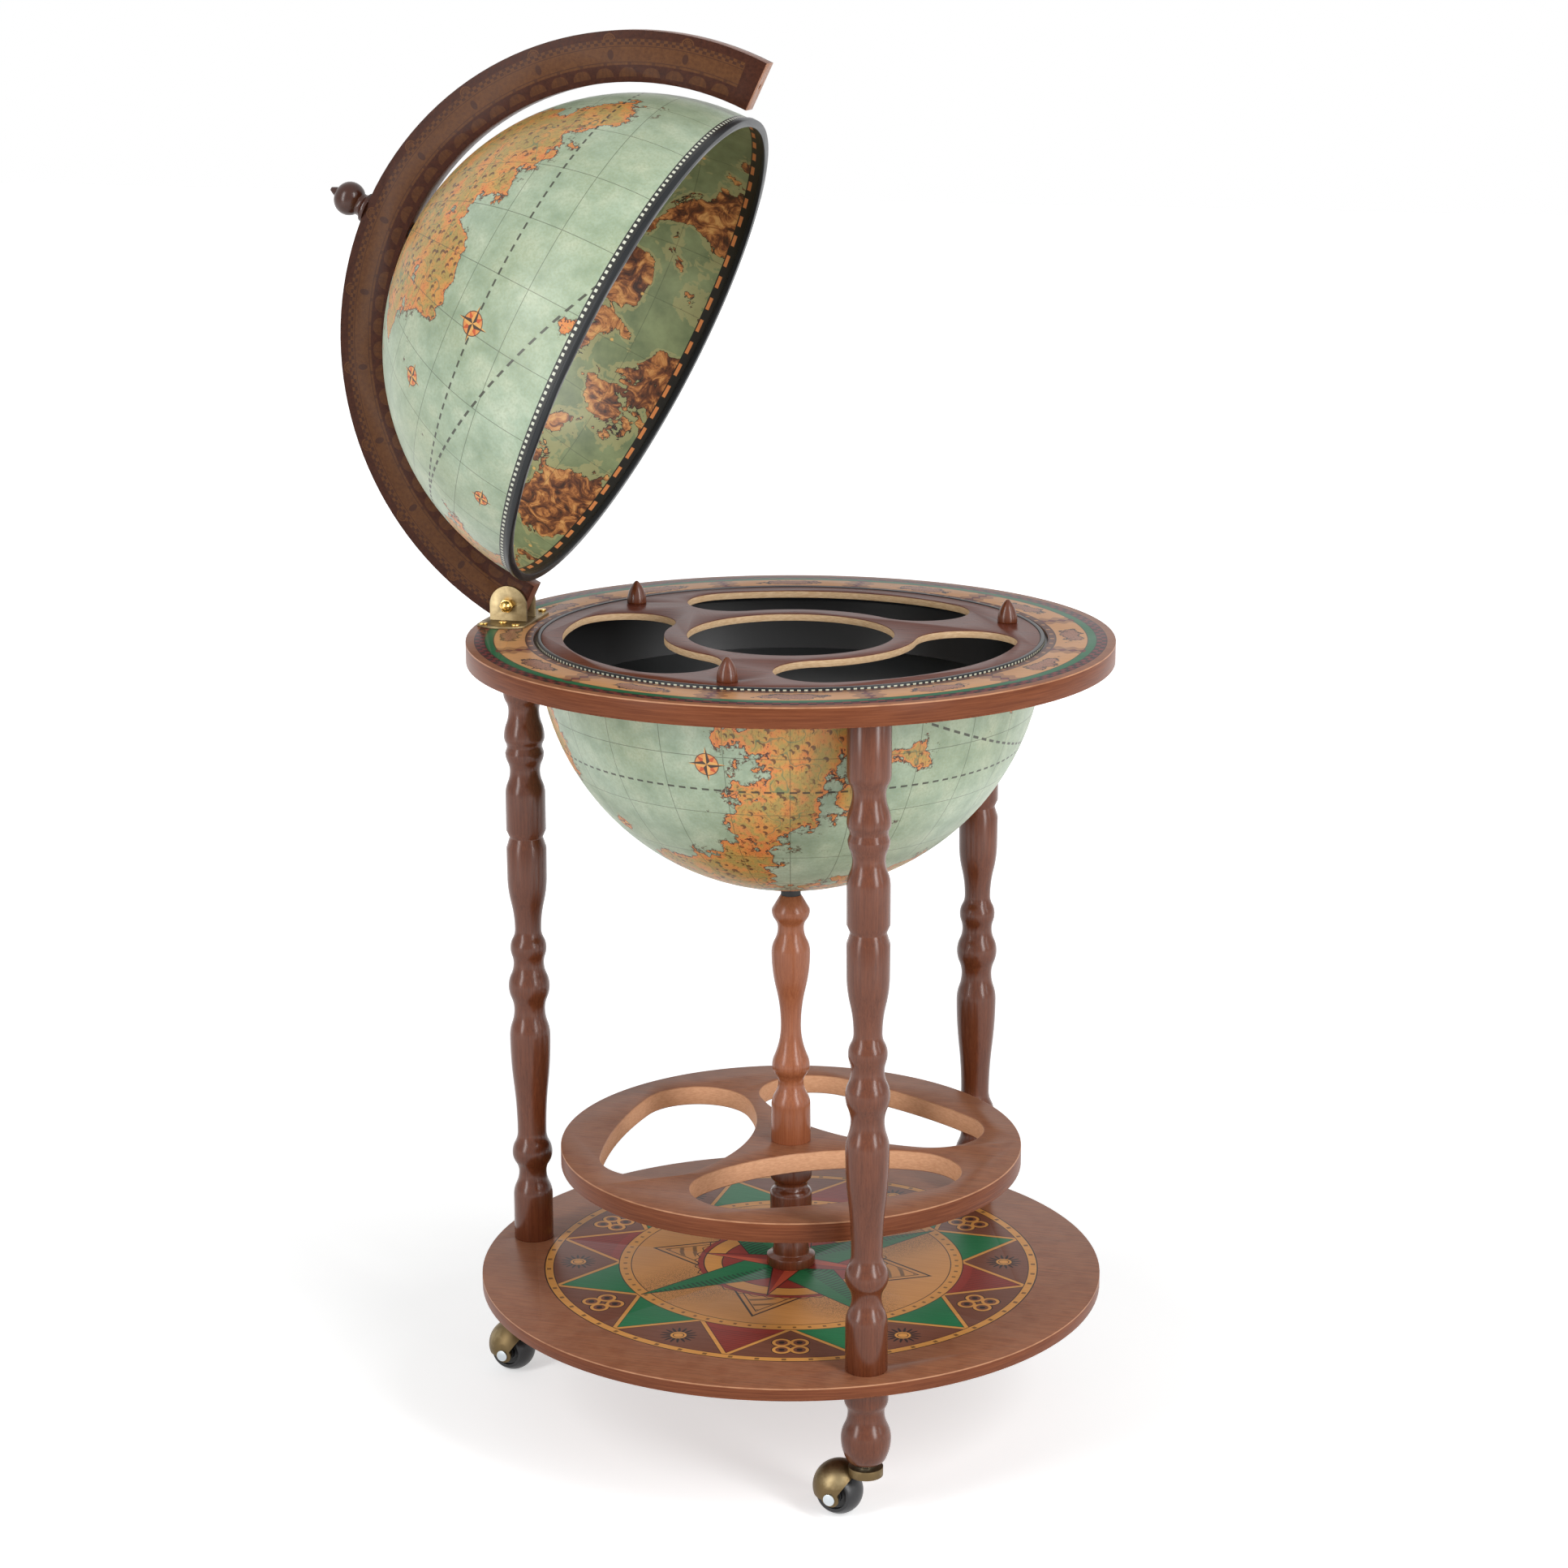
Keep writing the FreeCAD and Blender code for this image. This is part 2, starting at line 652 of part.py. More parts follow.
def shelf_hole_corners():
    """Outline one bottle hole of the shelf: two corner arcs, and two flatter arcs that
    touch them. The hole lies along +X, from the hub out to the rim."""
    corner = "places.hole_corner"
    inner_sum = "(places.hole_inner + %s)" % corner
    outer_sum = "(places.hole_outer - %s)" % corner
    reach = "places.corner_reach^2"
    out = "places.corner_out"
    side = "places.corner_side"
    inner_centre = "((%s^2 - %s) / (2 * %s - 2 * %s))" % (inner_sum, reach, inner_sum, out)
    outer_centre = "((%s^2 - %s) / (2 * %s - 2 * %s))" % (outer_sum, reach, outer_sum, out)
    inner_radius = "abs(%s - places.hole_inner)" % inner_centre
    outer_radius = "abs(places.hole_outer - %s)" % outer_centre
    inner_share = "%s / (%s - %s)" % (corner, inner_radius, corner)
    outer_share = "%s / (%s - %s)" % (corner, outer_radius, corner)
    inner_x = "%s + (%s - %s) * %s" % (out, out, inner_centre, inner_share)
    inner_y = "%s * (1 + %s)" % (side, inner_share)
    outer_x = "%s + (%s - %s) * %s" % (out, out, outer_centre, outer_share)
    outer_y = "%s * (1 + %s)" % (side, outer_share)
    return [
        (inner_x, inner_y, (corner, "left")),
        (inner_x, "-(%s)" % inner_y, (inner_radius, "left")),
        (outer_x, "-(%s)" % outer_y, (corner, "left")),
        (outer_x, outer_y, (outer_radius, "left")),
    ]


def bottle_shelf():
    """The round shelf on the column, with three large holes between three spokes."""
    body = disc("bottle_shelf", "places.shelf_radius", "sizes.shelf_thickness",
                "places.rod_bore")
    sketch = new_sketch(body, "XY_Plane", "bottle_hole")
    draw_outline(sketch, shelf_hole_corners())
    hole = pocket(body, sketch, "sizes.shelf_thickness", reverse=True)
    around(body, [hole])
    put(body, z="places.shelf_underside", angle="60 + sizes.shelf_turn")


def column_and_rod():
    """The two turned column pieces, the rod through them and the seat of the globe."""
    lower = turned_body("lower_column", "lower_column")
    bore(lower, "lower_column_bore", "places.rod_bore", "0", "places.lower_column_height")
    put(lower, z="places.base_top")
    upper = turned_body("upper_column", "upper_column")
    bore(upper, "upper_column_bore", "places.rod_bore", "0", "places.upper_column_height")
    put(upper, z="places.shelf_top")
    seat = disc("globe_seat", "sizes.seat_radius", "sizes.seat_height", "places.rod_bore")
    put(seat, z="places.seat_bottom")
    rod = new_body("tie_rod")
    sketch = new_sketch(rod, "XY_Plane", "rod_section")
    draw_circle(sketch, "0", "0", "sizes.rod_radius")
    pad(rod, sketch, "places.rod_top - places.rod_bottom")
    put(rod, z="places.rod_bottom")


def washer_and_nut(label, bottom_of_washer, bottom_of_nut, stud_radius):
    """Add a round washer and a six-sided nut on the body's Z axis."""
    body = doc.getObject(label) or new_body(label)
    features = []
    for name, bottom, height in (("washer", bottom_of_washer, "sizes.washer_thickness"),
                                 ("nut", bottom_of_nut, "sizes.nut_height")):
        sketch = new_sketch(body, "XY_Plane", "%s_%s_%d" % (label, name, len(body.Group)))
        sketch.AttachmentOffset = FreeCAD.Placement(V(0, 0, value(bottom)), FreeCAD.Rotation())
        sketch.setExpression("AttachmentOffset.Base.z", bottom)
        if name == "washer":
            draw_circle(sketch, "0", "0", "sizes.washer_radius")
        else:
            draw_hexagon(sketch, "sizes.nut_radius")
        draw_circle(sketch, "0", "0", stud_radius)
        features.append(pad(body, sketch, height))
    doc.recompute()
    return body


def draw_hexagon(sketch, radius):
    """Draw the six sides of a nut by the radius of its corners."""
    corners = []
    for side in range(NUT_SIDES):
        angle = FULL_TURN * side // NUT_SIDES
        on_axis = angle % (FULL_TURN // 2) == 0
        y = "0" if on_axis else "%s * sin(%d)" % (radius, angle)
        corners.append(("%s * cos(%d)" % (radius, angle), y, None))
    draw_outline(sketch, corners)


def rod_nuts():
    """A washer and a nut at each end of the tie rod: under the base, and in the globe."""
    washer_and_nut("rod_nuts", "places.base_underside - sizes.washer_thickness",
                   "places.base_underside - sizes.washer_thickness - sizes.nut_height",
                   "sizes.rod_radius + sizes.stud_clearance")
    inside = "places.equator - places.rod_hole_drop"
    washer_and_nut("rod_nuts", inside, inside + " + sizes.washer_thickness",
                   "sizes.rod_radius + sizes.stud_clearance")


def horizon_ring():
    """The wide flat ring round the globe's middle, drilled for dowels and screws."""
    body = disc("horizon_ring", "places.ring_outside", "sizes.ring_thickness",
                "places.ring_inside")
    dowels = new_sketch(body, "XY_Plane", "ring_dowel_holes")
    for side in LEG_ANGLES:
        x, y = leg_place(side)
        draw_circle(dowels, x, y, "sizes.stud_radius + sizes.stud_clearance")
    pocket(body, dowels, "sizes.dowel_depth + sizes.bore_spare", reverse=True)
    screws = new_sketch(body, "XY_Plane", "ring_screw_holes")
    screws.AttachmentOffset = FreeCAD.Placement(
        V(0, 0, value("sizes.ring_thickness")), FreeCAD.Rotation())
    screws.setExpression("AttachmentOffset.Base.z", "sizes.ring_thickness")
    for x, y in screw_places():
        draw_circle(screws, "%s - places.pin_reach" % x, y,
                    "sizes.screw_radius + sizes.stud_clearance")
    pocket(body, screws, "sizes.screw_length + sizes.bore_spare - sizes.plate_thickness")
    put(body, z="places.ring_underside")


def screw_places():
    """List the bracket's screws, three on each flange, about the foot of the hinge."""
    spots = []
    for sign in ("-", ""):
        near = "%s(places.cheek_outside + sizes.near_screw_reach)" % sign
        far = "%s(places.cheek_outside + sizes.far_screw_reach)" % sign
        spots.append(("0", near))
        spots.append(("-sizes.far_screw_spread", far))
        spots.append(("sizes.far_screw_spread", far))
    return spots


def half_shell(label, direction, hole):
    """Turn half a hollow sphere about Z, open at its origin, with a hole at its pole."""
    body = new_body(label)
    sketch = new_sketch(body, "XZ_Plane", label + "_outline")
    sign = "" if direction > 0 else "-"
    outer_end = "%ssqrt(sizes.globe_radius^2 - (%s)^2)" % (sign, hole)
    inner_end = "%ssqrt(places.shell_inside^2 - (%s)^2)" % (sign, hole)
    outward, inward = ("left", "right") if direction > 0 else ("right", "left")
    draw_outline(sketch, [
        ("sizes.globe_radius", "0", None),
        (hole, outer_end, ("sizes.globe_radius", outward)),
        (hole, inner_end, None),
        ("places.shell_inside", "0", ("places.shell_inside", inward)),
    ])
    revolve(body, sketch)
    doc.recompute()
    return body


def lower_hemisphere():
    """The lower half of the globe, which hangs in the ring and stands on its seat."""
    body = half_shell("lower_hemisphere", -1, "places.rod_bore")
    put(body, z="places.equator")


def hemisphere_rim():
    """The dark rim between the lower half and the ring, with the ledge of the rack."""
    body = new_body("hemisphere_rim")
    sketch = new_sketch(body, "XZ_Plane", "hemisphere_rim_outline")
    top = "sizes.equator_drop + sizes.rim_stand"
    ledge = "places.rack_underside - places.equator"
    bottom = "places.ledge_bottom - places.equator"
    draw_outline(sketch, [
        ("places.ring_inside", "0", None),
        ("places.ring_inside", top, None),
        ("places.rim_inside", top, None),
        ("places.rim_inside", ledge, None),
        ("places.rim_inside - sizes.ledge_width", ledge, None),
        ("places.rim_inside - sizes.ledge_width", bottom, None),
        ("places.ledge_outside", bottom, None),
        ("places.ledge_outside", "0", None),
    ])
    revolve(body, sketch)
    put(body, z="places.equator")


def rack_floor():
    """The black disc in the lower half that glasses stand on."""
    body = disc("rack_floor", "places.floor_radius", "sizes.floor_thickness",
                "places.rod_bore")
    put(body, z="places.floor_bottom")


def glass_rack():
    """The plate that closes the lower half, with a round well and three long slots."""
    body = disc("glass_rack", "places.rack_radius", "sizes.rack_thickness",
                "places.well_radius")
    sketch = new_sketch(body, "XY_Plane", "glass_slot")
    inner = "places.slot_inside"
    outer = "places.slot_outside"
    middle = "places.slot_centre"
    half = "places.slot_half_width"
    cosine = "cos(sizes.slot_half_span)"
    sine = "sin(sizes.slot_half_span)"
    end_x = "%s * %s - %s * %s" % (middle, cosine, half, sine)
    end_y = "%s * %s + %s * %s" % (middle, sine, half, cosine)
    draw_outline(sketch, [
        ("%s * %s" % (inner, cosine), "%s * %s" % (inner, sine), (half, "left")),
        (inner, "0", (inner, "right")),
        ("%s * %s" % (inner, cosine), "-%s * %s" % (inner, sine), (inner, "right")),
        (end_x, "-(%s)" % end_y, (half, "left")),
        ("%s * %s" % (outer, cosine), "-%s * %s" % (outer, sine), (half, "left")),
        (outer, "0", (outer, "left")),
        ("%s * %s" % (outer, cosine), "%s * %s" % (outer, sine), (outer, "left")),
        (end_x, end_y, (half, "left")),
    ])
    slot = pocket(body, sketch, "sizes.rack_thickness", reverse=True)
    around(body, [slot])
    holes = new_sketch(body, "XY_Plane", "peg_holes")
    for angle in PEG_ANGLES.values():
        draw_circle(holes, "places.peg_circle * cos(%g)" % (angle - RACK_TURN),
                    "places.peg_circle * sin(%g)" % (angle - RACK_TURN),
                    "sizes.peg_tenon_radius")
    pocket(body, holes, "sizes.rack_thickness", reverse=True)
    put(body, z="places.rack_underside", angle="%g" % RACK_TURN)


def peg(side):
    """A bullet-shaped peg on the rack, with a tenon in the plate."""
    body = turned_body("peg_" + side, "peg")
    sketch = new_sketch(body, "XZ_Plane", "peg_%s_tenon" % side)
    draw_outline(sketch, rectangle("0", "-sizes.peg_tenon_length",
                                   "sizes.peg_tenon_radius", "0"))
    revolve(body, sketch)
    angle = PEG_ANGLES[side]
    put(body, "places.peg_circle * cos(%g)" % angle,
        "places.peg_circle * sin(%g)" % angle, "places.rack_top")


def leg_studs():
    """Three studs that join foot, base and leg, and three dowels up into the ring."""
    body = new_body("leg_studs")
    features = []
    for name, bottom, length in (
            ("stud", "places.base_underside - sizes.stud_depth",
             "sizes.base_thickness + 2 * sizes.stud_depth"),
            ("dowel", "places.ring_underside - sizes.dowel_depth",
             "2 * sizes.dowel_depth")):
        sketch = new_sketch(body, "XY_Plane", name)
        sketch.AttachmentOffset = FreeCAD.Placement(V(0, 0, value(bottom)), FreeCAD.Rotation())
        sketch.setExpression("AttachmentOffset.Base.z", bottom)
        draw_circle(sketch, "-places.leg_circle", "0", "sizes.stud_radius")
        features.append(pad(body, sketch, length))
    doc.recompute()
    around(body, features)


def caster_sockets():
    """A steel socket in each foot, with a flange that carries the weight."""
    body = new_body("caster_sockets")
    flange = new_sketch(body, "XY_Plane", "socket_flange")
    tube = new_sketch(body, "XY_Plane", "socket_tube")
    features = []
    for sketch, bottom, radius, length in (
            (flange, "places.foot_bottom - sizes.socket_flange",
             "sizes.socket_flange_radius", "sizes.socket_flange"),
            (tube, "places.foot_bottom", "places.socket_outside",
             "places.socket_length")):
        sketch.AttachmentOffset = FreeCAD.Placement(V(0, 0, value(bottom)), FreeCAD.Rotation())
        sketch.setExpression("AttachmentOffset.Base.z", bottom)
        draw_circle(sketch, "-places.leg_circle", "0", radius)
        draw_circle(sketch, "-places.leg_circle", "0", "places.socket_bore")
        features.append(pad(body, sketch, length))
    doc.recompute()
    around(body, features)


def hinge_bracket():
    """The brass bracket: two round-topped cheeks on a plate with a flange each side."""
    body = new_body("hinge_bracket")
    cheek = new_sketch(body, "XZ_Plane", "cheek_outline")
    half = "sizes.cheek_half_width"
    draw_outline(cheek, [
        ("-" + half, "0", None),
        (half, "0", None),
        (half, "sizes.pin_height", None),
        ("0", "sizes.pin_height + %s" % half, (half, "left")),
        ("-" + half, "sizes.pin_height", (half, "left")),
    ])
    pad(body, cheek, "2 * places.cheek_outside", both_sides=True)
    doc.recompute()
    gap = new_sketch(body, "YZ_Plane", "cheek_gap")
    draw_outline(gap, rectangle("-places.cheek_inside", "sizes.plate_thickness",
                                "places.cheek_inside",
                                "sizes.pin_height + %s + sizes.bore_spare" % half))
    pocket(body, gap, "2 * (%s + sizes.bore_spare)" % half, both_sides=True)
    flange = new_sketch(body, "XY_Plane", "flange_outline")
    wide = "sizes.flange_half_width"
    reach = "(places.cheek_outside + sizes.flange_side)"
    draw_outline(flange, [
        (wide, "-" + reach, ("places.flange_radius", "left")),
        (wide, reach, None),
        ("-" + wide, reach, ("places.flange_radius", "left")),
        ("-" + wide, "-" + reach, None),
    ])
    pad(body, flange, "sizes.plate_thickness")
    doc.recompute()
    pin_hole = new_sketch(body, "XZ_Plane", "bracket_pin_hole")
    draw_circle(pin_hole, "0", "sizes.pin_height", "sizes.pin_radius + sizes.pin_clearance")
    pocket(body, pin_hole, "2 * (places.cheek_outside + sizes.bore_spare)",
           both_sides=True)
    screw_holes = new_sketch(body, "XY_Plane", "bracket_screw_holes")
    for x, y in screw_places():
        draw_circle(screw_holes, x, y, "sizes.screw_radius + sizes.stud_clearance")
    pocket(body, screw_holes, "sizes.plate_thickness", reverse=True)
    put(body, "-places.pin_reach", "0", "places.ring_top")


def hinge_bolt_and_nut():
    """The bolt that the arch turns on, its head behind and a domed nut in front."""
    bolt = new_body("hinge_bolt")
    sketch = new_sketch(bolt, "XY_Plane", "bolt_outline")
    thread_end = "-places.cheek_outside - sizes.bolt_nut_height"
    head_end = "places.cheek_outside + sizes.bolt_head_height"
    draw_outline(sketch, [
        ("0", thread_end, None),
        ("sizes.pin_radius", thread_end, None),
        ("sizes.pin_radius", "places.cheek_outside", None),
        ("sizes.bolt_head_radius", "places.cheek_outside", None),
        ("sizes.bolt_head_radius - sizes.bolt_head_bevel", head_end, None),
        ("0", head_end, None),
    ])
    revolve(bolt, sketch)
    nut = new_body("hinge_nut")
    hexagon = new_sketch(nut, "XZ_Plane", "nut_outline")
    draw_hexagon(hexagon, "sizes.bolt_nut_radius")
    draw_circle(hexagon, "0", "0", "sizes.pin_radius + sizes.stud_clearance")
    hexagon.AttachmentOffset = FreeCAD.Placement(
        V(0, 0, value("places.cheek_outside")), FreeCAD.Rotation())
    hexagon.setExpression("AttachmentOffset.Base.z", "places.cheek_outside")
    pad(nut, hexagon, "sizes.bolt_nut_height")
    dome = new_sketch(nut, "XY_Plane", "nut_dome")
    seat = "-places.cheek_outside - sizes.bolt_nut_height"
    bend = "(sizes.bolt_dome_radius^2 + sizes.bolt_dome_height^2)" \
           " / (2 * sizes.bolt_dome_height)"
    draw_outline(dome, [
        ("0", seat, None),
        ("0", seat + " - sizes.bolt_dome_height", None),
        ("sizes.bolt_dome_radius", seat, (bend, "left")),
    ])
    revolve(nut, dome)
    doc.recompute()
    for body in (bolt, nut):
        put(body, "-places.pin_reach", "0", "places.ring_top + sizes.pin_height")


def bracket_screws():
    """Six round-headed screws through the bracket's flanges into the ring."""
    body = new_body("bracket_screws")
    heads = new_sketch(body, "XY_Plane", "screw_heads")
    shanks = new_sketch(body, "XY_Plane", "screw_shanks")
    for sketch, radius in ((heads, "sizes.screw_head_radius"),
                           (shanks, "sizes.screw_radius")):
        for x, y in screw_places():
            draw_circle(sketch, x, y, radius)
    pad(body, heads, "sizes.screw_head_height")
    doc.recompute()
    shank = pad(body, shanks, "sizes.screw_length")
    shank.Reversed = True
    put(body, "-places.pin_reach", "0", "places.ring_top + sizes.plate_thickness")


def put_in_lid(body):
    """Place a body that is drawn about the closed lid's centre in the open lid."""
    put(body, "places.dome_x", "0", "places.dome_z", V(0, -1, 0), "sizes.lid_angle")


def meridian_arch():
    """The half-circle arch that carries the lid and turns on the hinge bolt. Its foot
    is rounded about the bolt, with a flat that lies level while the lid is open."""
    body = new_body("meridian_arch")
    sketch = new_sketch(body, "XZ_Plane", "arch_outline")
    lid = "sizes.lid_angle"
    foot_z = "places.pin_rise - sizes.cam_radius"
    draw_outline(sketch, [
        ("places.arch_inside", "0", ("places.arch_inside", "right")),
        ("places.arch_outside", "0", None),
        ("0", "places.arch_outside", ("places.arch_outside", "left")),
        ("places.stop_x - places.stop_length * cos(%s)" % lid,
         "places.stop_z + places.stop_length * sin(%s)" % lid,
         ("places.arch_outside", "left")),
        ("places.stop_x - places.stop_start * cos(%s)" % lid,
         "places.stop_z + places.stop_start * sin(%s)" % lid, None),
        ("-places.pin_reach", foot_z, ("sizes.cam_radius", "left")),
        ("-places.arch_inside", foot_z, None),
        ("-places.arch_inside", "0", None),
        ("0", "places.arch_inside", ("places.arch_inside", "right")),
    ])
    draw_circle(sketch, "-places.pin_reach", "places.pin_rise",
                "sizes.pin_radius + sizes.pin_clearance")
    pad(body, sketch, "sizes.arch_thickness", both_sides=True)
    doc.recompute()
    bore(body, "arch_pole_bore", "places.pole_bore",
         "places.arch_inside - sizes.shell_wall",
         "places.arch_outside + sizes.shell_wall")
    end_hole = new_sketch(body, "XY_Plane", "arch_end_hole")
    draw_circle(end_hole, "places.arch_inside + sizes.arch_width / 2", "0",
                "sizes.end_hole_radius")
    pocket(body, end_hole, "sizes.end_hole_depth", reverse=True)
    put_in_lid(body)


def finial():
    """The turned knob on the arch, over the pole."""
    body = turned_body("finial", "finial")
    bore(body, "finial_bore", "places.pole_bore", "0", "sizes.finial_bore")
    lid = "sizes.lid_angle"
    put(body, "places.dome_x - places.arch_outside * sin(%s)" % lid, "0",
        "places.dome_z + places.arch_outside * cos(%s)" % lid, V(0, -1, 0), lid)


def pole_pieces():
    """The pin that the lid's half turns on, its spacer, and its washer and nut."""
    pin = new_body("pole_pin")
    pin_sketch = new_sketch(pin, "XZ_Plane", "pole_pin_outline")
    draw_outline(pin_sketch, rectangle(
        "0", "places.pole_nut_top - sizes.nut_height - sizes.rod_spare / 2",
        "sizes.pole_radius", "places.arch_outside + sizes.finial_bore - sizes.bore_spare"))
    revolve(pin, pin_sketch)
    put_in_lid(pin)
    spacer = new_body("pole_spacer")
    spacer_sketch = new_sketch(spacer, "XZ_Plane", "pole_spacer_outline")
    draw_outline(spacer_sketch, rectangle("places.pole_bore", "places.spacer_bottom",
                                          "sizes.spacer_radius", "places.spacer_top"))
    revolve(spacer, spacer_sketch)
    put_in_lid(spacer)
    nut = washer_and_nut("pole_nut", "places.pole_nut_top",
                         "places.pole_nut_top - sizes.nut_height", "places.pole_bore")
    put_in_lid(nut)


def upper_hemisphere():
    """The upper half of the globe, the lid, which turns on the pole pin."""
    body = half_shell("upper_hemisphere", 1, "places.pole_bore")
    put_in_lid(body)


def dome_rim():
    """The dark lip that clips over the edge of the lid."""
    body = new_body("dome_rim")
    sketch = new_sketch(body, "XZ_Plane", "dome_rim_outline")
    inside_edge = "sqrt(places.shell_inside^2 - sizes.lip_rise^2)"
    draw_outline(sketch, [
        ("%s - sizes.lip_inner_wall" % inside_edge, "-sizes.lip_drop", None),
        ("sizes.globe_radius + sizes.lip_overhang", "-sizes.lip_drop", None),
        ("sizes.globe_radius + sizes.lip_overhang", "sizes.lip_rise", None),
        ("sizes.globe_radius", "sizes.lip_rise", None),
        ("sizes.globe_radius", "0", None),
        (inside_edge, "0", None),
        (inside_edge, "sizes.lip_rise", None),
        ("%s - sizes.lip_inner_wall" % inside_edge, "sizes.lip_rise", None),
    ])
    revolve(body, sketch)
    put_in_lid(body)


def put_in_caster(body, side):
    """Place a body that is drawn about a caster's swivel axis, at the floor."""
    x, y = leg_place(side)
    put(body, x, y, "0", V(0, 0, 1), "sizes.trail_heading")


def caster_stem(side):
    """The steel stem that swivels in the foot, riveted under the hood's boss."""
    body = new_body("caster_stem_" + side)
    sketch = new_sketch(body, "XZ_Plane", "stem_outline_" + side)
    stem = "sizes.stem_radius"
    top = "places.foot_bottom - sizes.socket_flange + sizes.stem_length"
    draw_outline(sketch, [
        ("0", "places.boss_bottom - sizes.rivet_height", None),
        ("sizes.rivet_radius", "places.boss_bottom - sizes.rivet_height", None),
        ("sizes.rivet_radius", "places.boss_bottom", None),
        (stem, "places.boss_bottom", None),
        (stem, "places.boss_top", None),
        ("sizes.collar_radius", "places.boss_top", None),
        ("sizes.collar_radius", "places.collar_top", None),
        (stem, "places.collar_top", None),
        (stem, top, None),
        ("0", top, None),
    ])
    revolve(body, sketch)
    put_in_caster(body, side)


def caster_hood(side):
    """The brass hood: part of a hollow sphere over the wheel, with the boss of the stem,
    cut away in front of the wheel and carried down as a lobe round the axle."""
    body = new_body("caster_hood_" + side)
    place = FreeCAD.Placement(V(value("sizes.trail"), 0, 0), FreeCAD.Rotation())
    ball = new_sketch(body, "XZ_Plane", "hood_ball_" + side)
    ball.AttachmentOffset = place
    ball.setExpression("AttachmentOffset.Base.x", "sizes.trail")
    low = "places.hood_centre - places.hood_outside"
    draw_outline(ball, [
        ("0", low, None),
        ("places.hood_outside", "places.hood_centre", ("places.hood_outside", "left")),
        ("0", "places.hood_centre + places.hood_outside", ("places.hood_outside", "left")),
    ])
    revolve(body, ball)
    doc.recompute()
    boss = new_sketch(body, "XY_Plane", "hood_boss_" + side)
    boss.AttachmentOffset = FreeCAD.Placement(
        V(0, 0, value("places.boss_bottom")), FreeCAD.Rotation())
    boss.setExpression("AttachmentOffset.Base.z", "places.boss_bottom")
    draw_circle(boss, "0", "0", "sizes.boss_radius")
    pad(body, boss, "sizes.boss_height")
    doc.recompute()
    hollow = new_sketch(body, "XZ_Plane", "hood_hollow_" + side)
    hollow.AttachmentOffset = place
    hollow.setExpression("AttachmentOffset.Base.x", "sizes.trail")
    draw_outline(hollow, [
        ("0", "places.hood_centre - places.hood_inside", None),
        ("places.hood_inside", "places.hood_centre", ("places.hood_inside", "left")),
        ("0", "places.hood_centre + places.hood_inside", ("places.hood_inside", "left")),
    ])
    groove(body, hollow)
    doc.recompute()
    bosses = new_sketch(body, "XZ_Plane", "axle_boss_" + side)
    draw_circle(bosses, "sizes.trail", "sizes.wheel_radius", "sizes.axle_boss_radius")
    pad(body, bosses, "2 * places.hood_flat", both_sides=True)
    doc.recompute()
    wheel_room = new_sketch(body, "XZ_Plane", "wheel_room_" + side)
    draw_circle(wheel_room, "sizes.trail", "sizes.wheel_radius",
                "sizes.axle_boss_radius + sizes.axle_boss_gap")
    pocket(body, wheel_room, "2 * (places.wheel_face + sizes.axle_boss_gap)",
           both_sides=True)
    front_cut = new_sketch(body, "XZ_Plane", "front_cut_" + side)
    draw_outline(front_cut, front_cut_corners())
    pocket(body, front_cut, "2 * (places.hood_outside + sizes.bore_spare)",
           both_sides=True)
    for name, direction in (("left", ""), ("right", "-")):
        flat = new_sketch(body, "YZ_Plane", "hood_flat_%s_%s" % (name, side))
        edge = direction + "places.hood_flat"
        beyond = direction + "(places.hood_outside + sizes.bore_spare)"
        draw_outline(flat, rectangle(edge, "0", beyond, "places.boss_top"))
        pocket(body, flat, "2 * (sizes.trail + places.hood_outside)", both_sides=True)
    holes = new_sketch(body, "XY_Plane", "stem_hole_" + side)
    draw_circle(holes, "0", "0", "sizes.stem_radius")
    pocket(body, holes, "places.boss_top", reverse=True)
    axle_hole = new_sketch(body, "XZ_Plane", "axle_hole_" + side)
    draw_circle(axle_hole, "sizes.trail", "sizes.wheel_radius", "sizes.axle_radius")
    pocket(body, axle_hole, "2 * (places.hood_outside + sizes.bore_spare)",
           both_sides=True)
    put_in_caster(body, side)


def front_cut_corners():
    """Outline what is cut off the hood below and in front: level under the skirt, round
    the lobe of the axle, then straight up to the underside of the boss."""
    lobe = "sizes.lobe_radius"
    skirt = "sizes.wheel_radius - sizes.skirt_drop"
    lobe_end = "sizes.trail + sqrt(%s^2 - sizes.skirt_drop^2)" % lobe
    past = "sizes.trail + places.hood_outside + sizes.bore_spare"
    before = "-sizes.boss_radius - sizes.bore_spare"
    below = "-sizes.bore_spare"
    return [
        (lobe_end, skirt, None),
        ("sizes.trail", "sizes.wheel_radius - " + lobe, (lobe, "right")),
        ("sizes.trail - %s * cos(sizes.lobe_end)" % lobe,
         "sizes.wheel_radius + %s * sin(sizes.lobe_end)" % lobe, (lobe, "right")),
        ("sizes.boss_radius / 2", "places.boss_bottom", None),
        (before, "places.boss_bottom", None),
        (before, below, None),
        (past, below, None),
        (past, skirt, None),
    ]


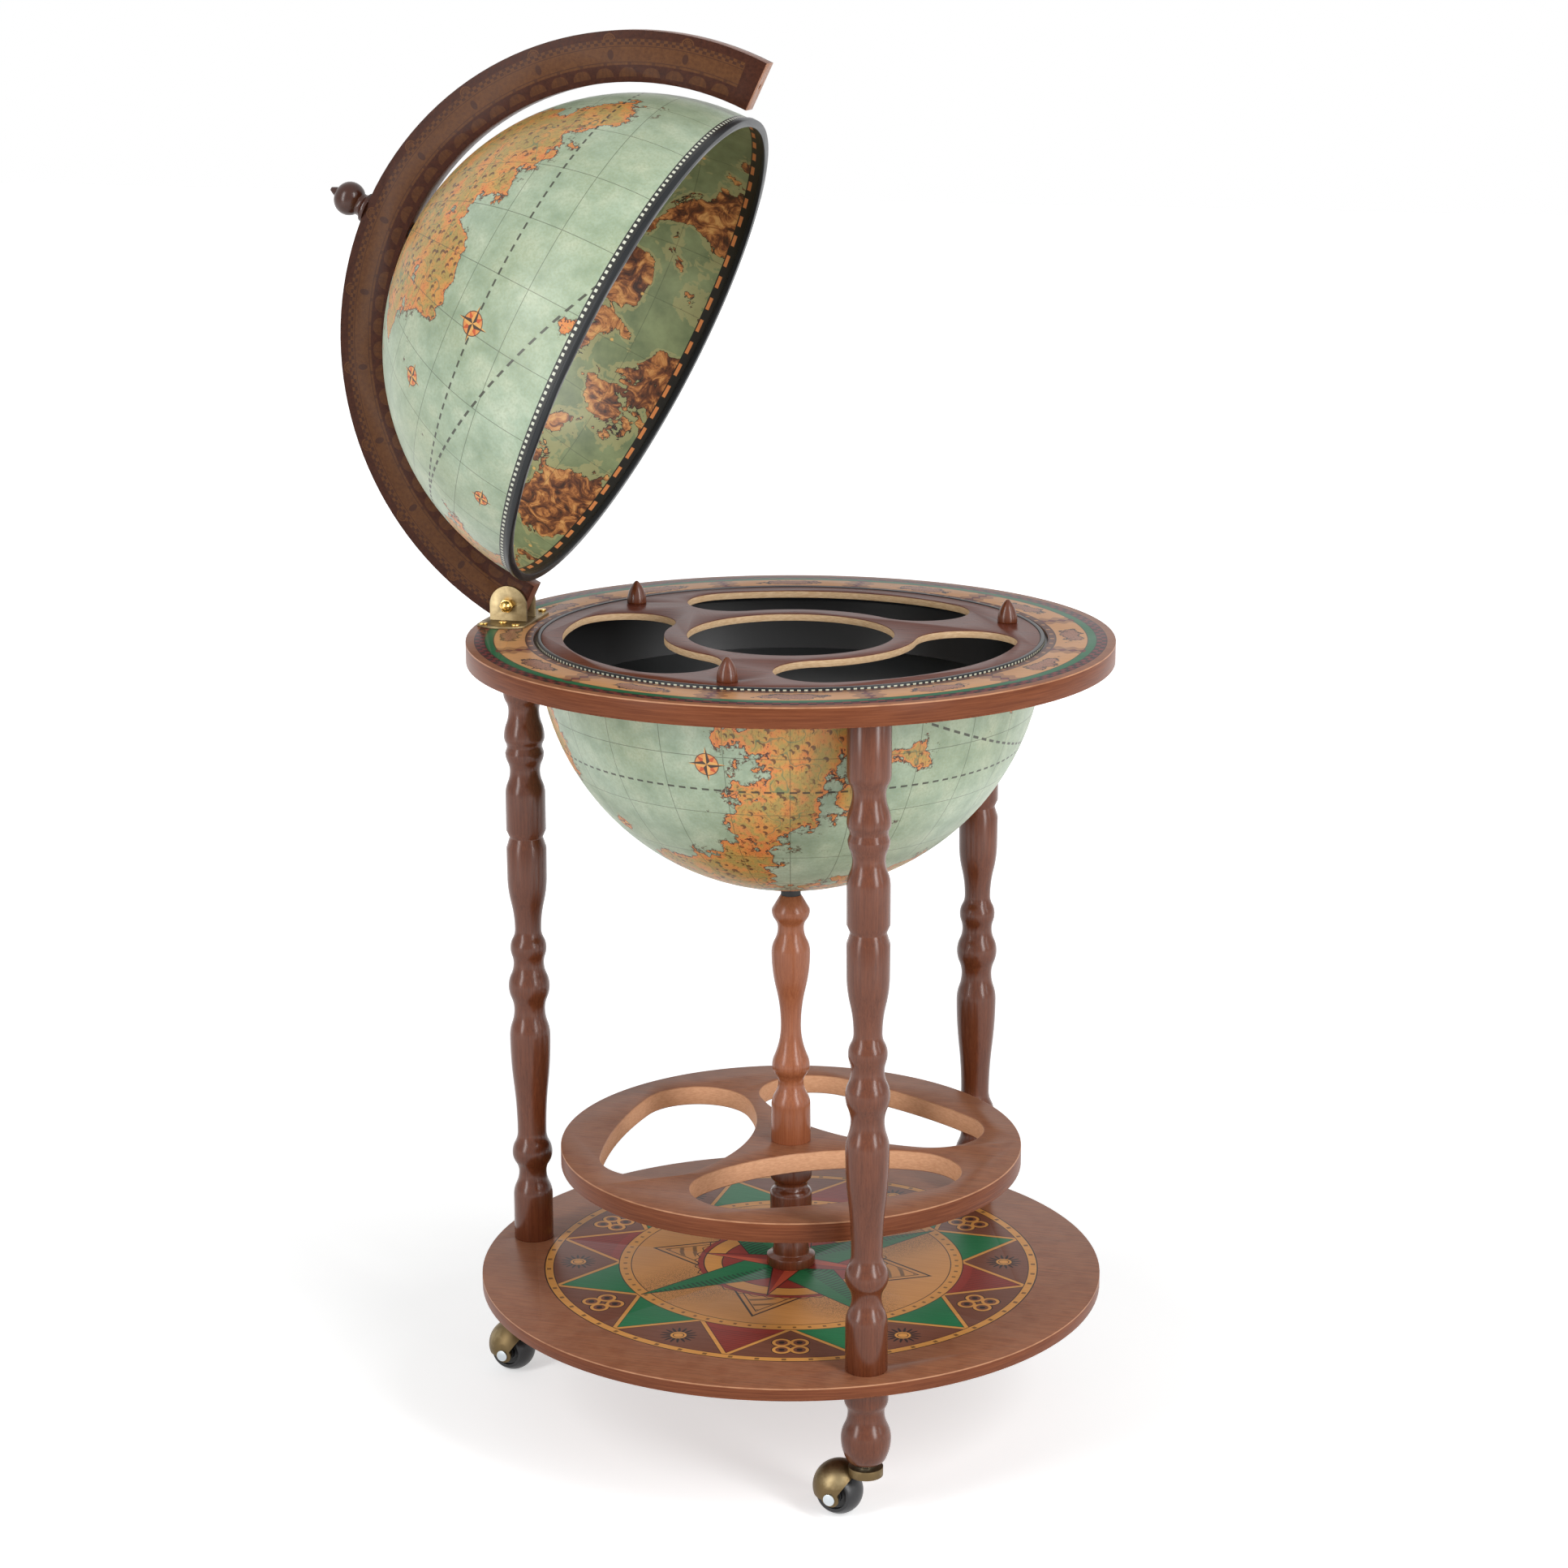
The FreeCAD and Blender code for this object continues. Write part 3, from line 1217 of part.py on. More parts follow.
def caster_axle(side):
    """The silver axle through the hood and the wheel, with a rivet head at each end."""
    body = new_body("caster_axle_" + side)
    sketch = new_sketch(body, "XY_Plane", "axle_outline_" + side)
    sketch.AttachmentOffset = FreeCAD.Placement(
        V(value("sizes.trail"), 0, value("sizes.wheel_radius")), FreeCAD.Rotation())
    sketch.setExpression("AttachmentOffset.Base.x", "sizes.trail")
    sketch.setExpression("AttachmentOffset.Base.z", "sizes.wheel_radius")
    end = "(places.hood_flat + sizes.axle_head_height)"
    head = "sizes.axle_head_radius"
    draw_outline(sketch, [
        ("0", "-" + end, None),
        (head, "-" + end, None),
        (head, "-places.hood_flat", None),
        ("sizes.axle_radius", "-places.hood_flat", None),
        ("sizes.axle_radius", "places.hood_flat", None),
        (head, "places.hood_flat", None),
        (head, end, None),
        ("0", end, None),
    ])
    revolve(body, sketch)
    put_in_caster(body, side)


def caster_wheel(side):
    """The black wheel: the middle slice of a ball, hollowed at both sides."""
    body = new_body("caster_wheel_" + side)
    sketch = new_sketch(body, "XY_Plane", "wheel_outline_" + side)
    sketch.AttachmentOffset = FreeCAD.Placement(
        V(value("sizes.trail"), 0, value("sizes.wheel_radius")), FreeCAD.Rotation())
    sketch.setExpression("AttachmentOffset.Base.x", "sizes.trail")
    sketch.setExpression("AttachmentOffset.Base.z", "sizes.wheel_radius")
    axle_bore = "sizes.axle_radius + sizes.axle_clearance"
    face = "places.wheel_face"
    floor = "places.wheel_floor"
    draw_outline(sketch, [
        (axle_bore, "-" + face, None),
        ("sizes.wheel_hub_radius", "-" + face, None),
        ("sizes.wheel_hub_radius", "-" + floor, None),
        ("places.wheel_rim_bore", "-" + floor, None),
        ("places.wheel_rim_bore", "-" + face, None),
        ("places.wheel_edge", "-" + face, None),
        ("places.wheel_edge", face, ("sizes.wheel_radius", "left")),
        ("places.wheel_rim_bore", face, None),
        ("places.wheel_rim_bore", floor, None),
        ("sizes.wheel_hub_radius", floor, None),
        ("sizes.wheel_hub_radius", face, None),
        (axle_bore, face, None),
    ])
    revolve(body, sketch)
    put_in_caster(body, side)


def check_model():
    """Stop if any object failed or any sub-part has no sound shape."""
    doc.recompute()
    for item in doc.Objects:
        if "Invalid" in item.State or "Error" in item.State:
            raise ValueError("%s failed: %s" % (item.Name, item.getStatusString()))
    for body in bodies:
        if body.Shape.isNull() or not body.Shape.isValid():
            raise ValueError(body.Label + " has no sound shape")


def export_parts():
    """Write each sub-part in its place to a file of its own name."""
    os.makedirs(PARTS_FOLDER, exist_ok=True)
    for body in bodies:
        body.Shape.exportStep(os.path.join(PARTS_FOLDER, body.Label + ".step"))


def build():
    """Model the whole globe bar."""
    write_sizes()
    write_places()
    base_shelf()
    for side in LEG_ANGLES:
        leg(side)
        foot(side)
    bottle_shelf()
    column_and_rod()
    rod_nuts()
    horizon_ring()
    lower_hemisphere()
    hemisphere_rim()
    rack_floor()
    glass_rack()
    for side in PEG_ANGLES:
        peg(side)
    leg_studs()
    caster_sockets()
    hinge_bracket()
    hinge_bolt_and_nut()
    bracket_screws()
    meridian_arch()
    finial()
    pole_pieces()
    upper_hemisphere()
    dome_rim()
    for side in LEG_ANGLES:
        caster_stem(side)
        caster_hood(side)
        caster_axle(side)
        caster_wheel(side)


build()
check_model()
export_parts()
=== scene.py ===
"""Looks of a globe bar on casters: its finishes, its turned woodwork and the studio it is photographed in."""

import json
import math
from functools import cache, partialmethod

import bpy
from mathutils import Matrix, Vector


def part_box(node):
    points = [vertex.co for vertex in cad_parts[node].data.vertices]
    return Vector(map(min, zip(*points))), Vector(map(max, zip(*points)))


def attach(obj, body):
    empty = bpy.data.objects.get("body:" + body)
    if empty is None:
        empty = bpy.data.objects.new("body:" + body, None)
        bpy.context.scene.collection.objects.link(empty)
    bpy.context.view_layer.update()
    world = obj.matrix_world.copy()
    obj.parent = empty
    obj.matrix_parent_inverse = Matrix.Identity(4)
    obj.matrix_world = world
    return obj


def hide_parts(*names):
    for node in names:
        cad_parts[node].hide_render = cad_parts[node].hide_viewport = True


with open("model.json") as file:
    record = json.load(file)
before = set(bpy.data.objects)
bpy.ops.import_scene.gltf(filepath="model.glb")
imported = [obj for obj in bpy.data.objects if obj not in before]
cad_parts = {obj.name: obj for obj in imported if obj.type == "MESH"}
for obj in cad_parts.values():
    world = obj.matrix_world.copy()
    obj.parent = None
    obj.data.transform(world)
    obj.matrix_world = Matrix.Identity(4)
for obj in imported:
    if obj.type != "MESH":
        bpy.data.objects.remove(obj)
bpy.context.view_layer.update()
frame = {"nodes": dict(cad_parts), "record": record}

bl_info = {
    "name": "Globe Bar",
    "version": (1, 0, 0),
    "blender": (4, 5, 0),
    "location": "View3D > Sidebar > Globe Bar",
    "description": "Finishes and details a globe bar on casters",
    "category": "Object",
}

MM = 0.001
DEGREE = math.pi / 180

# At rest, in metres: the middles of the tub and of the open dome, and a height between the two
GLOBE_CENTRE = Vector((0, 0, 0.65))
DOME_CENTRE = Vector((-0.122738, 0, 0.871804))
DOME_BOTTOM = 0.655
LID_ANGLE = 64.4 * DEGREE

# Radii: of the arch in metres, of the globe and the upright part of the tub's rim in millimetres
ARCH_OUTSIDE = 0.2475
GLOBE_RADIUS = 200
RIM_OUTSIDE = 200.3


# Values and nodes of materials


# How soft the edges of patterns are where nothing else is said
SOFT = 0.3


class Value:
    """A number, colour or place that nodes work out. A sum of values adds its Math nodes."""

    def __init__(self, nodes, socket):
        self.nodes = nodes
        self.socket = socket

    def maths(self, operation, second=0.0, third=0.0, first=None, clamp=False):
        inputs = {0: self if first is None else first, 1: second, 2: third}
        return self.nodes.node("Math", {"operation": operation, "use_clamp": clamp}, inputs)

    __add__ = __radd__ = partialmethod(maths, "ADD")
    __sub__ = partialmethod(maths, "SUBTRACT")
    __mul__ = __rmul__ = partialmethod(maths, "MULTIPLY")
    __truediv__ = partialmethod(maths, "DIVIDE")
    __pow__ = partialmethod(maths, "POWER")
    __abs__ = partialmethod(maths, "ABSOLUTE")
    __gt__ = partialmethod(maths, "GREATER_THAN")
    __lt__ = partialmethod(maths, "LESS_THAN")
    least = partialmethod(maths, "MINIMUM")
    most = partialmethod(maths, "MAXIMUM")
    whole = partialmethod(maths, "FLOOR")
    sine = partialmethod(maths, "SINE")
    cosine = partialmethod(maths, "COSINE")

    def __rsub__(self, other):
        return self.maths("SUBTRACT", self, first=other)

    def wrapped(self, low, high):
        return self.maths("WRAP", high, low)

    def clamped(self):
        return self.maths("ADD", clamp=True)

    def over(self, edge, soft=SOFT):
        """1 where the value is above edge, 0 below it, with a soft step between."""
        return ((self - edge) / soft).maths("ADD", 0.5, clamp=True)

    def under(self, edge, soft=SOFT):
        """1 where the value is below edge, 0 above it, with a soft step between."""
        return ((edge - self) / soft).maths("ADD", 0.5, clamp=True)

    def between(self, low, high, soft=SOFT):
        """1 where the value lies between low and high."""
        return self.over(low, soft) * self.under(high, soft)

    def near(self, middle, half, soft=SOFT):
        """1 on a line whose middle and half width are given."""
        return abs(self - middle).under(half, soft)


def span(x, y):
    """The distance of a point."""
    return (x * x + y * y) ** 0.5


def heading(y, x):
    """The direction of a point, in degrees."""
    return y.nodes.node("Math", {"operation": "ARCTAN2"}, {0: y, 1: x}) * (1 / DEGREE)


def screen_colour(tint):
    """A colour as it is seen on a screen, 0 to 255, for a colour socket."""
    parts = []
    for part in tint:
        part = part / 255
        parts.append(part / 12.92 if part <= 0.04045 else ((part + 0.055) / 1.055) ** 2.4)
    return (*parts, 1.0)


class Nodes:
    """The nodes of a material or world in the making. A colour of three numbers is a screen colour."""

    def __init__(self, tree):
        self.tree = tree

    def node(self, kind, settings=None, inputs=None, output=0):
        """Adds a shader node of a kind with its settings, then the values or links of its sockets."""
        made = self.tree.nodes.new("ShaderNode" + kind)
        for name, setting in (settings or {}).items():
            if name == "stops":
                stops = made.color_ramp.elements
                while len(stops) < len(setting):
                    stops.new(0.5)
                for stop, (position, tint) in zip(stops, setting):
                    stop.position = position
                    stop.color = screen_colour(tint)
            else:
                setattr(made, name, setting)
        for name, value in (inputs or {}).items():
            self.plug(made.inputs[name], value)
        return None if output is None else Value(self, made.outputs[output])

    def plug(self, socket, value):
        """Links a value to a socket, or sets a plain number, colour or place on it."""
        if isinstance(value, Value):
            self.tree.links.new(value.socket, socket)
        elif socket.type == "RGBA" and len(value) == 3:
            socket.default_value = screen_colour(value)
        else:
            socket.default_value = value


class Finish(Nodes):
    """A material in the making."""

    def __init__(self, name):
        self.material = bpy.data.materials.new(name)
        self.material.use_nodes = True
        super().__init__(self.material.node_tree)
        self.shader = self.tree.nodes["Principled BSDF"]
        # Where the patterns are looked up, which a finish may turn or move
        self.place = self.node("TexCoord", output="Object")

    def split(self):
        """The X, Y and Z of the place."""
        parts = self.node("SeparateXYZ", inputs={0: self.place}).socket.node.outputs
        return [Value(self, part) for part in parts]

    def turned(self, angle, centre):
        """The object's place in millimetres from a centre, after a turn about Y."""
        shift = -(Matrix.Rotation(angle, 3, "Y") @ centre) / MM
        sizes = Vector((1, 1, 1)) / MM
        return self.node("Mapping", inputs={0: self.place, 1: shift, 2: Vector((0, angle, 0)), 3: sizes})

    def vector(self, operation, other=(0, 0, 0), output=1):
        """Vector maths on the place. Output 1 is its number, output 0 its vector."""
        return self.node("VectorMath", {"operation": operation}, {0: self.place, 1: other}, output)

    def noise(self, scale, detail=3.0, roughness=0.55, distortion=0.0):
        """Noise at one scale, or at a scale for each of X, Y and Z."""
        place = self.place
        if isinstance(scale, tuple):
            place, scale = self.vector("MULTIPLY", scale, 0), 1.0
        looks = {"Scale": scale, "Detail": detail, "Roughness": roughness, "Distortion": distortion}
        return self.node("TexNoise", inputs={"Vector": place, **looks})

    def cells(self, scale, shift=(0, 0, 0)):
        """How far the place, moved by a shift, lies from the middle of its cell."""
        return self.node("TexVoronoi", inputs={"Vector": self.vector("ADD", shift, 0), "Scale": scale})

    def mix(self, mask, first, second, blend="MIX"):
        """The first colour where the mask is 0, the second where it is 1."""
        return self.node("Mix", {"data_type": "RGBA", "blend_type": blend}, {0: mask, 6: first, 7: second}, 2)

    def layers(self, tint, *layers):
        """Colours laid over a tint in order, each where its mask is 1."""
        for mask, shade in layers:
            tint = self.mix(mask, tint, shade)
        return tint

    def ramp(self, factor, *stops):
        return self.node("ValToRGB", {"stops": stops}, {0: factor})

    def plan(self):
        """Y and Z in millimetres, and the distance and direction from the column, seen from above."""
        x, y, z = (part * (1 / MM) for part in self.split())
        return y, z, span(x, y), heading(y, x)

    def surface(self, base, roughness, height, depth, polish=0.5, metallic=0.0):
        """Links the finish to its shader."""
        looks = {"Base Color": base, "Roughness": roughness, "Metallic": metallic, "Specular IOR Level": polish}
        looks["Normal"] = self.node("Bump", inputs={"Height": height, "Distance": depth})
        for name, value in looks.items():
            self.plug(self.shader.inputs[name], value)
        return self.material


# Wood


VENEER_PALE = (146, 86, 56)
VENEER_DARK = (92, 46, 28)
EDGE_LINE = (204, 150, 114)
# How near a board's faces its edge veneer starts, and how softly, in metres
FACE_MARGIN = 0.0008
FACE_SOFT = 0.0003
# Above this height turned wood is darker, and how close its lathe marks are
STAIN_HEIGHT = 0.75
LATHE_MARKS = 4200


def veneer_colour(finish, bottom, top):
    """Fine veneer grain, along X on the faces and round the edge on the rim, with a pale worn line at the top."""
    z = finish.split()[2]
    on_rim = z.between(bottom + FACE_MARGIN, top - FACE_MARGIN, FACE_SOFT)
    on_face = 1 - on_rim
    face_grain = finish.noise((22, 460, 40), 4, 0.68, 0.3)
    rim_grain = finish.noise((26, 26, 900), 4, 0.65, 0.2)
    grain = on_rim * rim_grain + on_face * face_grain
    pores = finish.noise((70, 1900, 60), 2, 0.5)
    cloud = finish.noise(7.0, 2, 0.5)
    wear = finish.noise(60.0, 3).over(0.42)
    line = z.between(top - 0.0012, top - 0.0001, 0.0004)
    tint = finish.layers(
        finish.ramp(grain, (0.28, VENEER_DARK), (0.68, VENEER_PALE)),
        (on_rim * 0.35, VENEER_DARK),
        (on_face * pores.over(0.58, 0.1) * 0.7, VENEER_DARK),
        (cloud.over(0.52, 0.5) * 0.25, VENEER_PALE),
        (line * (0.4 + 0.45 * wear), EDGE_LINE),
    )
    return tint, grain


def board_heights(node):
    """The underside and the top of a board, in metres."""
    low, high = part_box(node)
    return low[2], high[2]


def veneer_finish(finish):
    """Shelf: brown veneer, with pale raw walls in its holes."""
    bottom, top = board_heights("bottle_shelf")
    tint, grain = veneer_colour(finish, bottom, top)
    x, y, z = finish.split()
    inside = span(x, y).under(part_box("bottle_shelf")[1][0] - 0.003, 0.0005)
    wall = z.between(bottom + 0.0006, top - FACE_MARGIN, FACE_SOFT) * inside
    board = finish.noise((260, 260, 900), 3)
    raw = finish.ramp(board, (0.3, (202, 150, 114)), (0.75, (222, 172, 136)))
    roughness = 0.33 + 0.1 * grain + wall * 0.2
    return finish.surface(finish.mix(wall, tint, raw), roughness, grain, 0.00014, 0.12)


def turned_wood_finish(finish, pale, dark, roughness, polish):
    """Turned wood with grain along its length and a film of lacquer, stained darker high up on the lid."""
    z = finish.split()[2]
    streaks = finish.noise((700, 700, 26), 4, 0.6, 0.4)
    pores = finish.noise((2400, 2400, 150), 2, 0.5)
    cloud = finish.noise((26, 26, 14), 3, 0.5)
    tint = finish.layers(
        finish.ramp(streaks, (0.0, dark), (0.8, pale)),
        (cloud.over(0.5, 0.45) * 0.4, dark),
        (pores.over(0.60, 0.08) * 0.35, dark),
        (z.over(STAIN_HEIGHT, 0.02) * 0.8, (50, 22, 12)),
    )
    marks = (z * LATHE_MARKS).sine() * 0.5 + 0.5
    return finish.surface(tint, roughness + 0.06 * pores, pores * 0.6 + marks * 0.2, 0.000006, polish)


# Printed boards, drawn in millimetres and degrees


# How far below a board's top its print still shows
PRINT_DEPTH = 0.6


def star_edge(radius, angle, tip, dip, count, offset=0.0):
    """How far a point lies outside a star whose tips and dips are at two radii, and negative inside it."""
    half = 180 / count
    fold = abs((angle - offset).wrapped(-half, half)) * DEGREE
    dip_x = dip * math.cos(half * DEGREE)
    dip_y = dip * math.sin(half * DEGREE)
    run = math.hypot(tip - dip_x, dip_y)
    return (radius * fold.cosine() - tip) * (dip_y / run) + radius * fold.sine() * ((tip - dip_x) / run)


def beats(angle, count, edge, soft):
    """A row of marks round a circle: 1 on each mark, 0 between them."""
    return (angle * (DEGREE * count)).sine().over(edge, soft)


def checker(across, across_size, along, along_size):
    """1 on the dark fields of a checker, 0 on the light ones."""
    return ((across / across_size).whole() + (along / along_size).whole()).wrapped(0, 2) > 0.5


def printed_base_finish(finish):
    """Base board: veneer with a twelve-pointed star, suns, leaf knots and a compass in the middle."""
    bottom, top = board_heights("base_shelf")
    plain, grain = veneer_colour(finish, bottom, top)
    y, z, radius, angle = finish.plan()
    ochre = finish.mix(grain, (224, 160, 84), (190, 128, 64))
    green = finish.mix(grain, (24, 122, 72), (14, 92, 56))
    red = finish.mix(grain, (156, 56, 44), (122, 40, 34))
    field = finish.mix(grain, (126, 76, 56), (92, 52, 38))
    ink = (34, 22, 20)
    edge, edge_band, disc_band, disc, heart_band, heart, arm_tip = 203, 196, 142, 132, 72, 57, 140

    printed = radius.under(edge, 0.4)
    star = star_edge(radius, angle, 200, 143, 12)
    red_tip = abs(((angle + 15) / 30).whole().wrapped(0, 3) - 1.5) > 1.2
    hatch = (y * 2.4).sine().over(0.3) * red_tip * star.under(-3, 0.4) * radius.over(150, 1)
    tint = finish.layers(
        plain,
        (printed, field),
        (star.under(0, 0.4) * printed, finish.mix(red_tip, green, red)),
        (hatch * 0.55, ink),
        (star.near(-1.4, 1.7, 0.4) * printed, ochre),
        (star.near(0.5, 0.3).most(star.near(-3.4, 0.3)) * printed * 0.8, ink),
    )

    # A sun or a knot of leaves in each gap of the star, and the band round it
    gap = (angle - 15).wrapped(-15, 15) * DEGREE
    gap_x, gap_y = radius * gap.cosine(), radius * gap.sine()
    sun_gap = ((angle - 15) / 30 + 0.5).whole().wrapped(0, 2) < 0.5
    outside = star.over(4, 0.5) * printed
    sun, knot = sun_gap * outside, (1 - sun_gap) * outside
    reach = span(gap_x - 176, gap_y)
    rays = reach.under(10.4 + 4.4 * (heading(gap_y, gap_x - 176) * (DEGREE * 16)).sine(), 0.8)
    leaf = span(abs(gap_x - 174) - 7, abs(gap_y) - 7)
    tint = finish.layers(
        tint,
        (rays * sun, ink),
        (reach.under(6.4, 0.5) * sun, ochre),
        (reach.near(4.2, 0.4) * sun, ink),
        (leaf.near(6.2, 1.3, 0.5) * knot, ochre),
        (leaf.near(7.9, 0.4).most(leaf.under(2.4, 0.4)) * knot, ink),
        (radius.between(edge_band, edge, 0.4), ochre),
        (beats(angle, 60, 0.86, 0.1) * radius.between(198, 201.5, 0.4) * 0.7, ink),
        (radius.near(edge + 0.2, 0.5).most(radius.near(edge_band, 0.35)), ink),
    )

    # The tan disc with its stipple and petals, and the band round it
    speck = finish.noise(1500.0, 2, 0.6)
    arm = star_edge(radius, angle, arm_tip, 33, 4, 45)
    stipple = speck.over(0.56, 0.04) * arm.under(24, 24) * 0.85
    tan = finish.mix(stipple, finish.mix(grain, (216, 154, 88), (188, 128, 72)), ink)
    petals = star_edge(radius, angle, 118, 62, 4)
    outline = petals.near(0, 0.9, 0.5).most(petals.near(-5, 0.5, 0.4)) * radius.over(76, 0.6)
    swirl = (radius * 0.55 + angle * 0.35).sine().over(0.55, 0.4) * petals.under(-6, 1) * radius.over(80, 1)
    tint = finish.layers(
        tint,
        (radius.under(disc, 0.5), tan),
        ((outline + swirl * 0.7) * radius.under(disc - 2, 1), ink),
        (radius.between(disc, disc_band, 0.5), ochre),
        (radius.near(disc_band, 0.4).most(radius.near(disc, 0.4)), ink),
        (beats(angle, 72, 0.75, 0.2) * radius.between(135.5, 138.5, 0.6) * 0.7, ink),
    )

    # The rings in the middle and the compass over them
    scallop = (angle * (DEGREE * 36)).sine() * 1.6
    cross = star_edge(radius, angle, 74, 17, 4)
    ribs = (radius * 1.5).sine().over(0.1, 0.4) * ((angle - 45).wrapped(-45, 45) > 0.0) * 0.85
    tint = finish.layers(
        tint,
        (radius.between(heart_band, 77, 0.5), red),
        ((radius - scallop).near(78, 0.5, 0.4), ink),
        (radius.between(heart, heart_band, 0.5), ochre),
        (radius.under(heart, 0.5), red),
        (radius.near(heart_band, 0.5).most(radius.near(heart, 0.5)), ink),
        (arm.under(0, 0.5) * radius.under(arm_tip, 0.5), green),
        (ribs * arm.under(-1, 0.5) * radius.under(arm_tip - 2, 0.5), (12, 52, 36)),
        (arm.near(0, 0.5) * radius.under(arm_tip, 0.5), ink),
        (cross.under(0, 0.5), finish.mix(angle.wrapped(-45, 45) > 0.0, red, (188, 80, 56))),
        (cross.near(0, 0.5) * radius.under(76, 0.5), ink),
    )
    tint = finish.mix(z.over(top / MM - PRINT_DEPTH), plain, tint)
    return finish.surface(tint, 0.32 + 0.12 * grain, grain, 0.00008, 0.15)


def printed_ring_finish(finish):
    """Horizon ring: a checker, a green band, tan panels with leaf scrolls between turned dividers, and a scale."""
    bottom, top = board_heights("horizon_ring")
    plain, grain = veneer_colour(finish, bottom, top)
    z, radius, angle = finish.plan()[1:]
    ink = (44, 26, 28)
    wine = (112, 44, 44)
    green = finish.mix(grain, (26, 112, 72), (16, 84, 54))
    tan = finish.mix(grain, (224, 166, 112), (192, 134, 86))
    edge, green_band, panels, scale = 249, 241, 234, 209
    on_panels = radius.between(scale, panels, 0.4)

    # Turned dividers every 30 degrees
    spoke = abs(angle.wrapped(-15, 15) * DEGREE * radius)
    bead = 2.2 + 1.9 * (radius * (math.tau / 8.3)).sine()
    on_dividers = radius.between(scale, panels + 2, 0.5)
    divider = spoke.under(bead, 0.5) * on_dividers
    tint = finish.layers(
        plain,
        (radius.between(green_band, edge, 0.4), finish.mix(checker(angle, 1.5, radius - green_band, 4), wine, ink)),
        (radius.between(panels, green_band, 0.4), green),
        (on_panels, tan),
        (divider, wine),
        ((spoke - bead).near(0, 0.5) * on_dividers, ink),
    )

    # A scroll of leaves in every panel, with notched panel ends
    middle = (angle - 15).wrapped(-15, 15) * DEGREE * radius
    rise = radius - 221.5
    lobes = finish.noise((95, 95, 0), 3, 0.6)
    scroll = span(middle / 3.1, rise) + (lobes - 0.5) * 16
    veins = abs((lobes * 60 + middle * 0.3).sine()).under(0.35, 0.25) * scroll.under(8.6, 1)
    notch = (abs(middle / radius) * (1 / DEGREE) - 12.2 + 0.6 * (rise * 0.55).sine()).over(0, 0.15)
    tint = finish.layers(
        tint,
        (scroll.under(7.2, 0.8) * 0.8, (160, 108, 92)),
        ((scroll.near(7.4, 0.6, 0.4) + veins * 0.8).clamped(), ink),
        (notch * on_panels * (1 - divider) * 0.6, (122, 74, 54)),
        (radius.under(scale, 0.4), finish.mix(grain, (112, 66, 50), (78, 42, 34))),
        (beats(angle, 72, 0.8, 0.15) * radius.between(204.5, 207.6) * 0.7, tan),
    )
    for line, half in ((scale, 0.45), (panels, 0.4), (green_band, 0.4), (edge, 0.45), (204, 0.3)):
        tint = finish.mix(radius.near(line, half) * 0.85, tint, ink)

    tint = finish.mix(z.over(top / MM - PRINT_DEPTH) * radius.under(edge + 0.4), plain, tint)
    return finish.surface(tint, 0.28 + 0.12 * grain, grain, 0.00008, 0.1)


def printed_arch_finish(finish):
    """Meridian arch: dark borders, a lighter band with a checker, medallions and a row of scallops."""
    finish.place = finish.turned(LID_ANGLE, DOME_CENTRE)
    x, y, z = finish.split()
    radius = span(x, z)
    angle = heading(z, x)
    grain = finish.noise((0.4, 0.05, 0.4), 4, 0.6)
    fine = finish.noise((0.05, 2.4, 0.05), 3, 0.6)
    brown = finish.ramp(grain, (0.3, (54, 26, 16)), (0.72, (74, 39, 25)))
    light = finish.ramp(grain, (0.3, (82, 49, 28)), (0.72, (102, 65, 37)))
    dim = (68, 40, 28)
    band_inside, inner_line, outer_line, checks, band_outside = 221.5, 223.6, 235.4, 236.6, 241

    run = angle.between(3.6, 179, 0.1)
    squares = checker(angle, 0.75, radius - checks, 2.2)
    fold = abs((angle - 1.6).wrapped(-2.5, 2.5))
    arc_inside = span(fold * 3.75 - 0.6, radius - 213.2).under(6.4, 0.4)
    scallop = arc_inside * radius.over(212.6) * run
    fifteenth = angle.wrapped(-7.5, 7.5) * DEGREE * 229
    drop = span(fifteenth, (radius - 229.5) * 0.62)
    fan = span(fifteenth, radius - band_outside)
    rays = abs((heading(radius - band_outside, fifteenth) * (DEGREE * 6)).sine()).over(0.35, 0.2)
    fans = fan.near(4.2, 0.5).most(fan.under(3.2, 0.4) * rays)
    tint = finish.layers(
        brown,
        (radius.between(band_inside, band_outside, 0.4) * run, light),
        (radius.between(checks, band_outside) * squares * run, dim),
        (radius.near(inner_line, 0.3) * run * 0.9, dim),
        (radius.near(outer_line, 0.3) * run * 0.9, dim),
        (beats(angle, 72, 0.9, 0.08) * radius.between(band_inside, inner_line) * run * 0.8, dim),
        (scallop * 0.75, light),
        (((fold * 5.4).sine() > 0.4) * scallop * 0.3, dim),
        (drop.under(2.4, 0.4) * radius.between(224, 235) * run, dim),
        (fans * radius.over(band_outside) * run, light),
    )

    # The plain edges, and the bare wood of the free end
    side = abs(y).over(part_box("meridian_arch")[1][1] / MM - 0.9)
    bare = finish.ramp(fine, (0.35, (150, 104, 82)), (0.7, (186, 138, 110)))
    tint = finish.mix(side, finish.ramp(fine, (0.3, (104, 64, 50)), (0.72, (150, 100, 80))), tint)
    tint = finish.mix(z.under(0.4) * (x > 0.0), tint, bare)
    return finish.surface(tint, 0.3 + 0.1 * grain, grain, 0.00006, 0.12)


# The globe


# Latitude, longitude and size in millimetres of each compass rose
ROSES = (
    (-17, -94, 15), (-40, -132, 12), (24, -88, 15), (8, -126, 10),
    (36, -112, 12), (-38, 64, 14), (14, 60, 14), (-12, 168, 13),
)
